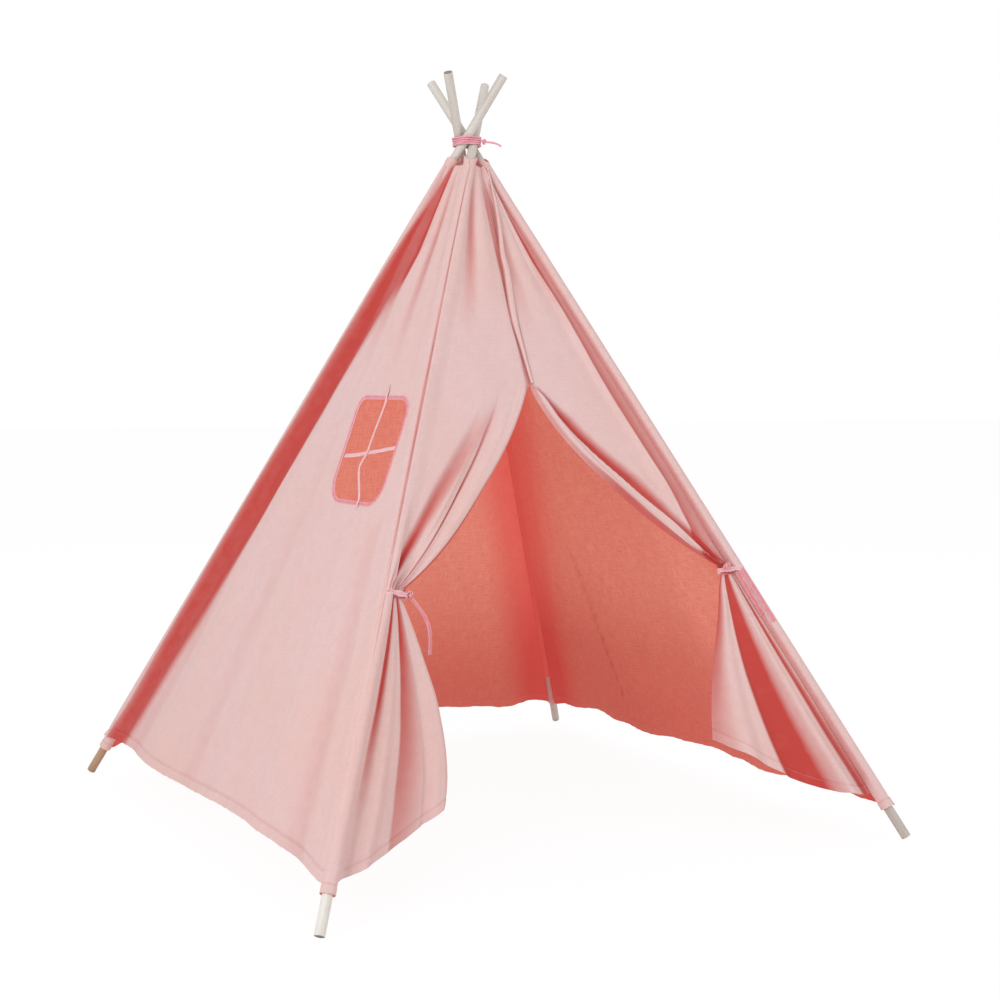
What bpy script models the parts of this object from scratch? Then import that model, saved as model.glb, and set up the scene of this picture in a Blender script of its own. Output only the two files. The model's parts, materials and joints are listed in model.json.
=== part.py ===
"""Kids' teepee: four lashed wooden poles under a sewn cotton cover with a tied-back door and a window.

Metres, +Z up. The origin is on the floor under the middle of the base. The door faces -Y and the window -X.
"""

import math
from dataclasses import dataclass

import bmesh
import bpy
import numpy as np
from mathutils import Matrix, Vector

# Poles: where the feet stand, where they are lashed, and their stock
BASE_HALF_WIDTH = 0.600
BASE_HALF_DEPTH = 0.645
LASH_HEIGHT = 1.342
POLE_LENGTH = 1.750
POLE_DIAMETER = 0.018
POLE_SIDES = 24
CROSSING_GAP = 0.0008
LOWER_JOINT_AT = 0.585
UPPER_JOINT_AT = 1.170
FERRULE_LENGTH = 0.090
FERRULE_WALL = 0.0010
FOLD_ANGLE = math.radians(18.5)

# Clearances
TOUCH_GAP = 0.0003
SEW_GAP = 0.0010
CUT_OVERRUN = 0.030

# Cover: cloth, sleeves and the heights of its edges
CLOTH_THICKNESS = 0.0020
SLEEVE_WALL = 0.0015
PANEL_TOP_HEIGHT = 1.288
SLEEVE_STANDS_ABOVE = 0.021
SLEEVE_TOP_HEIGHT = PANEL_TOP_HEIGHT + SLEEVE_STANDS_ABOVE
SLEEVE_END_HEIGHT = 0.060
LEFT_HEM_HEIGHT = 0.083
RIGHT_HEM_HEIGHT = 0.055
REAR_HEM_HEIGHT = 0.060
SLEEVE_DIP = 0.0050
RIDGE_RISE = 0.0080
RIDGE_REACH = 0.035
FULL_RIDGE_WIDTH = 0.150
PLEAT_DEPTH = 0.016
PANEL_ROWS = 10
EDGE_COLUMN_SHARES = (0.0, 0.008, 0.026)
INNER_COLUMNS = 20

# Door: the flaps part at the apex and are tied to the front poles
APEX_HEIGHT = 0.856
TIE_HEIGHT = 0.505
SEAM_GAP = 0.0006
LEFT_NECK_WIDTH = 0.033
RIGHT_NECK_WIDTH = 0.028
LEFT_EDGE_POWER = 1.0
RIGHT_EDGE_POWER = 1.25
NECK_MARGIN = 0.004
SEAM_CALM_SHARE = 0.25
GATHER_START_SHARE = 0.375
NECK_START_SHARE = 0.5
FRONT_COLUMNS = 16
FRONT_ROWS_ABOVE = 6
FRONT_ROWS_BELOW = 8
PLACKET_WIDTH = 0.012
PLACKET_THICKNESS = 0.0012
PLACKET_ROWS = 10
PLACKET_TOP_MARGIN = 0.004

# Skirts: the flaps' loose lower ends
SKIRT_SWING = math.radians(20.0)
SKIRT_GAP = 0.0012
LEFT_SKIRT_HEM_HEIGHT = 0.080
RIGHT_SKIRT_HEM_HEIGHT = 0.092
LEFT_FREE_EDGE_DROP = 0.310
RIGHT_FREE_EDGE_DROP = 0.245
LEFT_SKIRT_WIDTH = 0.213
RIGHT_SKIRT_WIDTH = 0.210
SKIRT_FOLD_DEPTH = 0.022
SKIRT_FOLD_POWER = 1.6
SKIRT_COLUMNS = 22
SKIRT_ROWS = 8

# Ties: a ribbon band round each gathered flap, with a knot and tails
BAND_HEIGHT = 0.012
BAND_THICKNESS = 0.0015
BAND_END_RADIUS = 0.0075
BAND_STEPS = 16
BAND_FRONT_ANGLE = math.radians(112.0)
BAND_TURN_ANGLE = math.radians(-82.0)
BAND_BACK_ANGLE = math.radians(-55.0)
TIE_KNOT_RADIUS = 0.0065
RIBBON_WIDTH = 0.010
RIBBON_THICKNESS = 0.0012
LONG_TAIL_LENGTH = 0.118
SHORT_TAIL_LENGTH = 0.096
TAIL_STEPS = 8
LONG_TAIL_LEAN = math.radians(34.0)
SHORT_TAIL_LEAN = math.radians(-14.0)
TAIL_PARTING = math.radians(3.5)
HANGING_TAIL_TURN = math.radians(-29.0)
ROUTE_STEPS = 2

# Window in the left panel, with its binding and two crossed ribbons
WINDOW_CENTRE_DEPTH = -0.135
WINDOW_CENTRE_HEIGHT = 0.733
WINDOW_WIDTH = 0.218
WINDOW_HEIGHT = 0.224
WINDOW_CORNER_RADIUS = 0.045
WINDOW_CALM_MARGIN = 0.040
BINDING_WIDTH = 0.008
BINDING_THICKNESS = 0.0032
WINDOW_RIBBON_WIDTH = 0.0085
CROSS_RIBBON_RISE = 0.022
UPRIGHT_RIBBON_BEND = 0.050
UPRIGHT_RIBBON_SHIFT = 0.010
CORNER_STEPS = 6

# Lash: a cord wound round the four poles where they cross
LASH_CORD_DIAMETER = 0.0040
LASH_PITCH = 0.0047
LASH_TURNS = 4
LASH_POINTS_PER_TURN = 24
LASH_KNOT_ANGLE = math.radians(-48.0)
LASH_KNOT_RADIUS = 0.0065
SEATING_STEPS = 20
KNOT_SIDES = 12
KNOT_RINGS = 8

# Worked-out sizes of the poles and sleeves
POLE_RADIUS = POLE_DIAMETER / 2
PIVOT_SPACING = (POLE_DIAMETER + CROSSING_GAP) * math.hypot(1, BASE_HALF_DEPTH / LASH_HEIGHT)
FERRULE_BORE_RADIUS = POLE_RADIUS + TOUCH_GAP
FERRULE_RADIUS = FERRULE_BORE_RADIUS + FERRULE_WALL
SLEEVE_BORE_RADIUS = FERRULE_RADIUS + TOUCH_GAP
SLEEVE_RADIUS = SLEEVE_BORE_RADIUS + SLEEVE_WALL
SEW_RADIUS = SLEEVE_RADIUS + SEW_GAP

# Pleats as (centre share, half-width share, depth share), a plus sign standing out of the tent
LEFT_PLEAT_SHARES = (
    (0.13, 0.07, -0.7), (0.26, 0.07, 0.6), (0.42, 0.06, -0.4), (0.56, 0.06, 0.4),
    (0.76, 0.06, 0.5), (0.88, 0.06, -0.7),
)
RIGHT_PLEAT_SHARES = (
    (0.14, 0.08, 0.6), (0.30, 0.08, -0.8), (0.47, 0.08, 0.7), (0.66, 0.09, -0.6), (0.85, 0.08, 0.8),
)
REAR_PLEAT_SHARES = (
    (0.12, 0.07, -0.8), (0.28, 0.08, 0.7), (0.48, 0.09, -0.6), (0.68, 0.08, 0.7), (0.87, 0.07, -0.8),
)
FRONT_PLEAT_SHARES = (
    (0.12, 0.08, -0.7), (0.27, 0.07, 0.7), (0.40, 0.06, -0.4), (0.60, 0.06, -0.4),
    (0.73, 0.07, 0.7), (0.88, 0.08, -0.7),
)
LEFT_SKIRT_FOLD_SHARES = ((0.22, 0.15, -0.9), (0.46, 0.15, 0.7), (0.68, 0.14, -0.8), (0.90, 0.14, 0.9))
RIGHT_SKIRT_FOLD_SHARES = ((0.18, 0.13, -0.7), (0.38, 0.13, 0.9), (0.60, 0.14, -1.0), (0.85, 0.18, 1.0))

# Routes of the free ends, chosen by hand, from the knot that they leave
LEFT_TAIL_ROUTE = (
    (0.0035, -0.0035, -0.0070), (0.012, -0.007, -0.022), (0.023, -0.009, -0.043), (0.027, -0.009, -0.064),
    (0.028, -0.008, -0.086), (0.027, -0.007, -0.108),
)
LASH_TAIL_ROUTE = (
    (0.0061, -0.0027, -0.0018), (0.0135, -0.0075, -0.0040), (0.0200, -0.0110, -0.0085),
    (0.0240, -0.0125, -0.0155), (0.0255, -0.0130, -0.0250),
)

# Colours as linear RGB, with roughness
MATERIALS = {
    "cotton": ((0.80, 0.50, 0.47), 0.95),
    "coral_cotton": ((0.66, 0.33, 0.28), 0.95),
    "ribbon": ((0.85, 0.30, 0.38), 0.70),
    "wood": ((0.76, 0.68, 0.58), 0.60),
    "ferrule_metal": ((0.70, 0.70, 0.72), 0.35),
    "cord": ((0.86, 0.40, 0.46), 0.80),
}


def clear_scene():
    """Remove every object, so that the script builds the same model wherever it is run."""
    for obj in list(bpy.data.objects):
        bpy.data.objects.remove(obj, do_unlink=True)


def make_collection(name):
    """Add a collection to the scene."""
    collection = bpy.data.collections.new(name)
    bpy.context.scene.collection.children.link(collection)
    return collection


def make_material(name):
    """A Principled material from the table of colours."""
    colour, roughness = MATERIALS[name]
    material = bpy.data.materials.new(name)
    material.use_nodes = True
    shader = material.node_tree.nodes["Principled BSDF"]
    shader.inputs["Base Color"].default_value = (*colour, 1.0)
    shader.inputs["Roughness"].default_value = roughness
    shader.inputs["Metallic"].default_value = float(name == "ferrule_metal")
    material.diffuse_color = (*colour, 1.0)
    return material


def lerp(start, end, share):
    """Blend two numbers or vectors."""
    return start + (end - start) * share


def ease(value):
    """Smooth step from 0 to 1."""
    value = min(max(value, 0.0), 1.0)
    return value * value * (3 - 2 * value)


@dataclass
class Pole:
    """One pole: its label, the corner its foot stands in, and the corner of the lash it passes."""

    label: str
    side_x: int
    side_y: int
    lash_x: int
    lash_y: int

    def __post_init__(self):
        half = PIVOT_SPACING / 2
        self.pivot = Vector((self.lash_x * half, self.lash_y * half, LASH_HEIGHT))
        foot = Vector((self.side_x * BASE_HALF_WIDTH, self.side_y * BASE_HALF_DEPTH, 0.0))
        for _ in range(SEATING_STEPS):
            down = (foot - self.pivot).normalized()
            foot.z = POLE_RADIUS * math.hypot(down.x, down.y)
        self.foot = foot
        self.down = (foot - self.pivot).normalized()
        self.below = (foot - self.pivot).length

    def at_drop(self, distance):
        """The point on the axis that lies this far below the lash, along the pole."""
        return self.pivot + self.down * distance

    def drop_of(self, height):
        """The distance along the pole, below the lash, of a height above the floor."""
        return (self.pivot.z - height) / -self.down.z

    def at_height(self, height):
        """The point on the axis at this height above the floor."""
        return self.at_drop(self.drop_of(height))

    def frame(self, drop):
        """A matrix at a point of the axis: Z up the pole, and X square to it towards the floor."""
        z_axis = -self.down
        x_axis = (Vector((0, 0, -1)) + z_axis * z_axis.z).normalized()
        y_axis = z_axis.cross(x_axis)
        turn = Matrix((x_axis, y_axis, z_axis)).transposed().to_4x4()
        return Matrix.Translation(self.at_drop(drop)) @ turn

    def fold_axis(self):
        """The hinge axis at the lash: a positive turn swings the foot in towards the middle."""
        plane = Vector((0, self.down.y, self.down.z)).normalized()
        return Vector((0, plane.z, -plane.y)) * -self.side_x

    def folded_down(self):
        """The direction of the pole below the lash once it is folded."""
        return Matrix.Rotation(FOLD_ANGLE, 3, self.fold_axis()) @ self.down


FRONT_LEFT = Pole("front_left", -1, -1, 1, -1)
FRONT_RIGHT = Pole("front_right", 1, -1, 1, 1)
BACK_LEFT = Pole("back_left", -1, 1, -1, -1)
BACK_RIGHT = Pole("back_right", 1, 1, -1, 1)
POLES = (FRONT_LEFT, FRONT_RIGHT, BACK_LEFT, BACK_RIGHT)


@dataclass
class Wall:
    """The cloth between two poles, from the first pole's sleeve (share 0) to the second's (share 1)."""

    first: Pole
    second: Pole
    outward: Vector
    pleats: tuple

    def span(self, height):
        """The sewn edges at this height, and the wall's outward normal there."""
        start_axis = self.first.at_height(height)
        end_axis = self.second.at_height(height)
        along = (end_axis - start_axis).normalized()
        slope = (self.first.down + self.second.down).normalized()
        normal = along.cross(slope).normalized()
        if normal.dot(self.outward) < 0:
            normal.negate()
        inward = SLEEVE_DIP / SEW_RADIUS
        level = math.sqrt(1 - inward * inward)
        toward_second = (along - self.first.down * along.dot(self.first.down)).normalized()
        toward_first = (self.second.down * along.dot(self.second.down) - along).normalized()
        start = start_axis + (toward_second * level - normal * inward) * SEW_RADIUS
        end = end_axis + (toward_first * level - normal * inward) * SEW_RADIUS
        return start, end, normal

    def fold_depth(self, share, width, reach):
        """How far the cloth stands out of the line between its sewn edges."""
        size = min(1.0, width / FULL_RIDGE_WIDTH)
        from_edge = width * min(share, 1 - share)
        depth = (SLEEVE_DIP + RIDGE_RISE) * size * ease(from_edge / (RIDGE_REACH * size))
        for centre, half, amount in self.pleats:
            offset = abs(share - centre) / half
            if offset < 1:
                depth += PLEAT_DEPTH * amount * reach * math.cos(offset * math.pi / 2) ** 2
        return depth

    def point(self, share, height, calm=1.0):
        """A point of the cloth's middle surface. calm fades the pleats, 0 leaving none."""
        start, end, normal = self.span(height)
        reach = ease((PANEL_TOP_HEIGHT - height) / PANEL_TOP_HEIGHT) * calm
        depth = self.fold_depth(share, (end - start).length, reach)
        return start.lerp(end, share) + normal * depth


LEFT_WALL = Wall(BACK_LEFT, FRONT_LEFT, Vector((-1, 0, 0)), LEFT_PLEAT_SHARES)
RIGHT_WALL = Wall(FRONT_RIGHT, BACK_RIGHT, Vector((1, 0, 0)), RIGHT_PLEAT_SHARES)
REAR_WALL = Wall(BACK_RIGHT, BACK_LEFT, Vector((0, 1, 0)), REAR_PLEAT_SHARES)
FRONT_WALL = Wall(FRONT_LEFT, FRONT_RIGHT, Vector((0, -1, 0)), FRONT_PLEAT_SHARES)


def finish(obj, name, material, collection):
    """Name an object, give it its material and put it in a collection."""
    obj.name = name
    obj.data.name = name
    obj.data.materials.append(material)
    collection.objects.link(obj)
    return obj


def mesh_object(bm, name, material, collection, smooth_below=math.radians(40)):
    """Turn a bmesh into an object whose round faces are shaded smooth."""
    mesh = bpy.data.meshes.new(name)
    bm.to_mesh(mesh)
    bm.free()
    mesh.shade_smooth()
    mesh.set_sharp_from_angle(angle=smooth_below)
    return finish(bpy.data.objects.new(name, mesh), name, material, collection)


def mesh_from_curve(obj):
    """Replace a curve object by a mesh object with welded caps."""
    bpy.context.view_layer.update()
    evaluated = obj.evaluated_get(bpy.context.evaluated_depsgraph_get())
    mesh = bpy.data.meshes.new_from_object(evaluated)
    bm = bmesh.new()
    bm.from_mesh(mesh)
    bmesh.ops.remove_doubles(bm, verts=bm.verts, dist=TOUCH_GAP / 10)
    bmesh.ops.recalc_face_normals(bm, faces=bm.faces)
    bm.to_mesh(mesh)
    bm.free()
    result = bpy.data.objects.new(obj.name, mesh)
    result.matrix_world = obj.matrix_world.copy()
    for collection in obj.users_collection:
        collection.objects.link(result)
    bpy.data.objects.remove(obj, do_unlink=True)
    return result


def rod(name, radius, low, high, frame, material, collection):
    """A solid rod along the frame's Z axis, from low to high."""
    bm = bmesh.new()
    bmesh.ops.create_cone(
        bm, cap_ends=True, segments=POLE_SIDES, radius1=radius, radius2=radius, depth=high - low
    )
    obj = mesh_object(bm, name, material, collection)
    obj.matrix_world = frame @ Matrix.Translation((0, 0, (low + high) / 2))
    return obj


def tube(name, bore_radius, radius, low, high, frame, material, collection):
    """A turned tube along the frame's Z axis: a section with a Screw modifier."""
    bm = bmesh.new()
    corners = ((radius, high), (radius, low), (bore_radius, low), (bore_radius, high))
    section = [bm.verts.new((x, 0, z)) for x, z in corners]
    for index, vert in enumerate(section):
        bm.edges.new((vert, section[(index + 1) % len(section)]))
    obj = mesh_object(bm, name, material, collection)
    screw = obj.modifiers.new("Turn", "SCREW")
    screw.steps = screw.render_steps = POLE_SIDES
    screw.use_merge_vertices = True
    screw.merge_threshold = TOUCH_GAP / 10
    obj.matrix_world = frame
    return obj


def cloth(name, columns, rows, surface, thickness, material, collection):
    """A sheet: a grid laid on surface(column share, row share), thickened both ways by Solidify."""
    column_count = len(columns) - 1
    row_count = len(rows) - 1
    bm = bmesh.new()
    bmesh.ops.create_grid(bm, x_segments=column_count, y_segments=row_count, size=0.5)
    for vert in bm.verts:
        column = round((vert.co.x + 0.5) * column_count)
        row = round((vert.co.y + 0.5) * row_count)
        vert.co = surface(columns[column], rows[row])
    obj = mesh_object(bm, name, material, collection, math.radians(80))
    solid = obj.modifiers.new("Thickness", "SOLIDIFY")
    solid.thickness = thickness
    solid.offset = 0.0
    solid.use_quality_normals = True
    return obj


def even_shares(count):
    """Shares from 0 to 1 in equal steps."""
    return [index / count for index in range(count + 1)]


def wall_columns():
    """Column shares of a whole wall, closer together beside the sleeves."""
    first = EDGE_COLUMN_SHARES[-1]
    inner = [lerp(first, 1 - first, share) for share in even_shares(INNER_COLUMNS)]
    left = list(EDGE_COLUMN_SHARES[:-1])
    return left + inner + [1 - share for share in reversed(left)]


def rounded_rectangle(width, height, radius):
    """Corner arcs of a rounded rectangle, as a ring of flat points."""
    points = []
    for quarter, (side_x, side_y) in enumerate(((1, 1), (-1, 1), (-1, -1), (1, -1))):
        centre_x = side_x * (width / 2 - radius)
        centre_y = side_y * (height / 2 - radius)
        for share in even_shares(CORNER_STEPS):
            angle = (quarter + share) * math.pi / 2
            points.append((centre_x + radius * math.cos(angle), centre_y + radius * math.sin(angle)))
    return points


def wrapped_point(discs, angle):
    """The point of the taut line round the discs whose outward direction is the angle."""
    cos, sin = math.cos(angle), math.sin(angle)
    x, y, radius = max(discs, key=lambda disc: disc[0] * cos + disc[1] * sin + disc[2])
    return x + radius * cos, y + radius * sin


def flat_plate(name, rings, thickness, frame, material, collection):
    """A flat plate with the given rings as its outline and holes, square to the frame's Z axis."""
    curve = bpy.data.curves.new(name, "CURVE")
    curve.dimensions = "2D"
    curve.fill_mode = "BOTH"
    curve.extrude = thickness / 2
    for ring in rings:
        spline = curve.splines.new("POLY")
        spline.points.add(len(ring) - 1)
        for point, (x, y) in zip(spline.points, ring):
            point.co = (x, y, 0, 1)
        spline.use_cyclic_u = True
    obj = finish(bpy.data.objects.new(name, curve), name, material, collection)
    obj.matrix_world = frame
    return obj


def cord(name, points, diameter, material, collection):
    """A round cord along points."""
    curve = bpy.data.curves.new(name, "CURVE")
    curve.dimensions = "3D"
    curve.bevel_depth = diameter / 2
    curve.bevel_resolution = 1
    curve.use_fill_caps = True
    spline = curve.splines.new("POLY")
    spline.points.add(len(points) - 1)
    for point, place in zip(spline.points, points):
        point.co = (*place, 1)
    spline.use_smooth = True
    return finish(bpy.data.objects.new(name, curve), name, material, collection)


def smooth_route(points):
    """Points of a smooth curve through hand-chosen points, by Catmull-Rom blending."""
    ends = [points[0] * 2 - points[1], *points, points[-1] * 2 - points[-2]]
    route = []
    for index in range(len(points) - 1):
        before, start, end, after = ends[index : index + 4]
        for t in even_shares(ROUTE_STEPS)[:-1]:
            route.append(
                start
                + (end - before) * (t / 2)
                + (before * 2 - start * 5 + end * 4 - after) * (t * t / 2)
                + (start * 3 - before - end * 3 + after) * (t * t * t / 2)
            )
    return route + [points[-1]]


def knot(name, centre, radius, frame, material, collection):
    """A small round knot."""
    bm = bmesh.new()
    bmesh.ops.create_uvsphere(bm, u_segments=KNOT_SIDES, v_segments=KNOT_RINGS, radius=radius)
    obj = mesh_object(bm, name, material, collection)
    obj.matrix_world = Matrix.Translation(centre) @ frame.to_3x3().to_4x4()
    return obj


def build_pole(pole, materials, collection):
    """Three sections butted in two ferrules, inside a sleeve. Heights run up the pole from its foot."""
    frame = pole.frame(pole.below)
    cuts = (0.0, LOWER_JOINT_AT, UPPER_JOINT_AT, POLE_LENGTH)
    pieces = []
    for part, low, high in zip(("lower", "middle", "upper"), cuts, cuts[1:]):
        bottom = low + (TOUCH_GAP / 2 if low else 0)
        top = high - (TOUCH_GAP / 2 if high < POLE_LENGTH else 0)
        name = f"pole_{pole.label}_{part}"
        pieces.append(rod(name, POLE_RADIUS, bottom, top, frame, materials["wood"], collection))
    for part, middle in (("lower", LOWER_JOINT_AT), ("upper", UPPER_JOINT_AT)):
        low, high = middle - FERRULE_LENGTH / 2, middle + FERRULE_LENGTH / 2
        name = f"ferrule_{pole.label}_{part}"
        metal = materials["ferrule_metal"]
        pieces.append(tube(name, FERRULE_BORE_RADIUS, FERRULE_RADIUS, low, high, frame, metal, collection))
    low = pole.below - pole.drop_of(SLEEVE_END_HEIGHT)
    high = pole.below - pole.drop_of(SLEEVE_TOP_HEIGHT)
    name = f"sleeve_{pole.label}"
    cotton = materials["cotton"]
    pieces.append(tube(name, SLEEVE_BORE_RADIUS, SLEEVE_RADIUS, low, high, frame, cotton, collection))
    return pieces


def build_wall(name, wall, hem_height, material, collection):
    """A whole wall of cloth from its top edge to its hem."""

    def surface(column, row):
        return wall.point(column, lerp(PANEL_TOP_HEIGHT, hem_height, row))

    columns, rows = wall_columns(), even_shares(PANEL_ROWS)
    return cloth(name, columns, rows, surface, CLOTH_THICKNESS, material, collection)


def window_frame():
    """A matrix at the window's middle: X along the wall towards the door, Y up the wall, Z outward."""
    start, end, normal = LEFT_WALL.span(WINDOW_CENTRE_HEIGHT)
    share = (WINDOW_CENTRE_DEPTH - start.y) / (end.y - start.y)
    centre = LEFT_WALL.point(share, WINDOW_CENTRE_HEIGHT, calm=0.0)
    x_axis = (end - start).normalized()
    y_axis = normal.cross(x_axis).normalized()
    turn = Matrix((x_axis, y_axis, normal)).transposed().to_4x4()
    return Matrix.Translation(centre) @ turn


def build_left_panel(materials, parts, cutters):
    """The wall with the window: its pleats die away round the window, which is then cut out."""
    frame = window_frame()
    to_window = frame.inverted()

    def surface(column, row):
        height = lerp(PANEL_TOP_HEIGHT, LEFT_HEM_HEIGHT, row)
        local = to_window @ LEFT_WALL.point(column, height, calm=0.0)
        beyond_x = max(abs(local.x) - WINDOW_WIDTH / 2, 0) / WINDOW_CALM_MARGIN
        beyond_y = max(abs(local.y) - WINDOW_HEIGHT / 2, 0) / WINDOW_CALM_MARGIN
        return LEFT_WALL.point(column, height, calm=ease(math.hypot(beyond_x, beyond_y) - 0.5))

    columns, rows = wall_columns(), even_shares(PANEL_ROWS)
    panel = cloth("panel_left", columns, rows, surface, CLOTH_THICKNESS, materials["cotton"], parts)
    outline = rounded_rectangle(WINDOW_WIDTH, WINDOW_HEIGHT, WINDOW_CORNER_RADIUS)
    plate = flat_plate("window_cutter", [outline], 2 * CUT_OVERRUN, frame, materials["cotton"], cutters)
    cutter = mesh_from_curve(plate)
    cutter.name = "window_cutter"
    cutter.hide_render = True
    cutter.display_type = "WIRE"
    cut = panel.modifiers.new("Window", "BOOLEAN")
    cut.operation = "DIFFERENCE"
    cut.solver = "EXACT"
    cut.object = cutter
    return panel


def build_window_trim(materials, collection):
    """The binding round the window's edge, and the upright and cross ribbons inside it."""
    frame = window_frame()
    outer_width = WINDOW_WIDTH - 2 * TOUCH_GAP
    outer_height = WINDOW_HEIGHT - 2 * TOUCH_GAP
    inner_width = outer_width - 2 * BINDING_WIDTH
    inner_height = outer_height - 2 * BINDING_WIDTH
    rings = (
        rounded_rectangle(outer_width, outer_height, WINDOW_CORNER_RADIUS - TOUCH_GAP),
        rounded_rectangle(inner_width, inner_height, WINDOW_CORNER_RADIUS - TOUCH_GAP - BINDING_WIDTH),
    )
    ribbon = materials["ribbon"]
    binding = flat_plate("window_binding", rings, BINDING_THICKNESS, frame, ribbon, collection)
    layer = (RIBBON_THICKNESS + TOUCH_GAP) / 2
    half_width = inner_width / 2 - TOUCH_GAP
    half_height = inner_height / 2 - TOUCH_GAP

    def upright_surface(column, row):
        x = UPRIGHT_RIBBON_BEND * row * ease(row) - UPRIGHT_RIBBON_SHIFT
        x += WINDOW_RIBBON_WIDTH * (column - 0.5)
        return frame @ Vector((x, half_height * (1 - 2 * row), layer))

    def cross_surface(column, row):
        y = CROSS_RIBBON_RISE * (row - 0.5) + WINDOW_RIBBON_WIDTH * (column - 0.5)
        return frame @ Vector((half_width * (2 * row - 1), y, -layer))

    across, along = even_shares(1), even_shares(TAIL_STEPS)
    thickness = RIBBON_THICKNESS
    upright = cloth("window_ribbon_upright", across, along, upright_surface, thickness, ribbon, collection)
    cross = cloth("window_ribbon_cross", across, along, cross_surface, thickness, ribbon, collection)
    return [binding, upright, cross]


@dataclass
class Flap:
    """One half of the front: side -1 is the left half and side 1 the right half."""

    side: int
    pole: Pole
    neck_width: float
    edge_power: float
    free_edge_drop: float
    skirt_width: float
    skirt_hem_height: float
    skirt_folds: tuple

    @property
    def label(self):
        """The half's plain name."""
        return "left" if self.side < 0 else "right"

    def across(self):
        """The direction square to the pole, in the front wall, from the sleeve towards the door."""
        start, end, _ = FRONT_WALL.span(TIE_HEIGHT)
        along = (end - start) * -self.side
        return (along - self.pole.down * along.dot(self.pole.down)).normalized()

    def outward(self):
        """The direction square to the pole and to across, out of the tent."""
        normal = self.pole.down.cross(self.across()).normalized()
        return normal if normal.y < 0 else -normal

    def neck_drop(self):
        """How far below the lash, along the pole, the gathered neck ends."""
        return self.pole.drop_of(TIE_HEIGHT) + BAND_HEIGHT / 2

    def kept_width(self, below_apex, full_width):
        """The half's width at a share of the way from the apex to the neck, in a wall this wide."""
        half_width = full_width / 2 - SEAM_GAP
        return lerp(half_width, self.neck_width, below_apex**self.edge_power)

    def surface(self, column, row):
        """A point of this half: its rows reach the apex, then the neck's top, and then its end."""
        neck_top = self.neck_drop() - BAND_HEIGHT - NECK_MARGIN
        below_apex = min(max(row - FRONT_ROWS_ABOVE, 0) / FRONT_ROWS_BELOW, 1.0)
        if row <= FRONT_ROWS_ABOVE:
            drop = self.pole.drop_of(lerp(PANEL_TOP_HEIGHT, APEX_HEIGHT, row / FRONT_ROWS_ABOVE))
        elif row <= FRONT_ROWS_ABOVE + FRONT_ROWS_BELOW:
            drop = lerp(self.pole.drop_of(APEX_HEIGHT), neck_top, below_apex)
        else:
            drop = self.neck_drop()
        height = self.pole.at_drop(drop).z
        start, end, _ = FRONT_WALL.span(height)
        full_width = (end - start).length
        width = self.kept_width(below_apex, full_width)
        share = width * column / full_width
        gathered = ease((below_apex - GATHER_START_SHARE) / (1 - GATHER_START_SHARE))
        calm = ease((1 - column) / SEAM_CALM_SHARE) * (1 - gathered)
        loose = FRONT_WALL.point(share if self.side < 0 else 1 - share, height, calm)
        in_neck = ease((below_apex - NECK_START_SHARE) / (1 - NECK_START_SHARE))
        return loose.lerp(self.neck_point(drop, width * column), in_neck)

    def neck_point(self, drop, distance):
        """A point of the gathered neck, at a distance from its sewn edge square to the pole."""
        inward = SLEEVE_DIP / SEW_RADIUS
        edge = self.across() * math.sqrt(1 - inward * inward) - self.outward() * inward
        return self.pole.at_drop(drop) + edge * SEW_RADIUS + self.across() * distance


LEFT_FLAP = Flap(
    -1, FRONT_LEFT, LEFT_NECK_WIDTH, LEFT_EDGE_POWER, LEFT_FREE_EDGE_DROP, LEFT_SKIRT_WIDTH,
    LEFT_SKIRT_HEM_HEIGHT, LEFT_SKIRT_FOLD_SHARES,
)
RIGHT_FLAP = Flap(
    1, FRONT_RIGHT, RIGHT_NECK_WIDTH, RIGHT_EDGE_POWER, RIGHT_FREE_EDGE_DROP, RIGHT_SKIRT_WIDTH,
    RIGHT_SKIRT_HEM_HEIGHT, RIGHT_SKIRT_FOLD_SHARES,
)
FLAPS = (LEFT_FLAP, RIGHT_FLAP)


def build_flap(flap, materials, collection):
    """The upper part of a front half, from the top edge to the neck under its tie."""
    rows = list(range(FRONT_ROWS_ABOVE + FRONT_ROWS_BELOW + 2))
    name = f"front_{flap.label}"
    columns = even_shares(FRONT_COLUMNS)
    return cloth(name, columns, rows, flap.surface, CLOTH_THICKNESS, materials["cotton"], collection)


def build_skirt(flap, materials, collection):
    """The loose lower end of a flap, which hangs from the tie and turns about the pole."""
    pole = flap.pole
    inward_turn = Matrix.Rotation(SKIRT_SWING, 3, pole.down)
    if (inward_turn @ flap.across()).dot(flap.outward()) > 0:
        inward_turn.transpose()
    across = inward_turn @ flap.across()
    outward = inward_turn @ flap.outward()
    top = flap.neck_drop() + SKIRT_GAP
    hem = pole.drop_of(flap.skirt_hem_height)

    def surface(column, row):
        sewn = lerp(top, hem, row)
        free = top + flap.free_edge_drop * row
        width = lerp(flap.neck_width, flap.skirt_width, row)
        fullness = (width / flap.skirt_width) ** SKIRT_FOLD_POWER
        depth = 0.0
        for centre, half, amount in flap.skirt_folds:
            offset = abs(column - centre) / half
            if offset < 1:
                depth += SKIRT_FOLD_DEPTH * amount * fullness * math.cos(offset * math.pi / 2) ** 2
        along = pole.at_drop(lerp(sewn, free, column))
        return along + across * (SLEEVE_RADIUS + 2 * TOUCH_GAP + width * column) + outward * depth

    name = f"skirt_{flap.label}"
    columns, rows = even_shares(SKIRT_COLUMNS), even_shares(SKIRT_ROWS)
    return cloth(name, columns, rows, surface, CLOTH_THICKNESS, materials["cotton"], collection)


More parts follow.
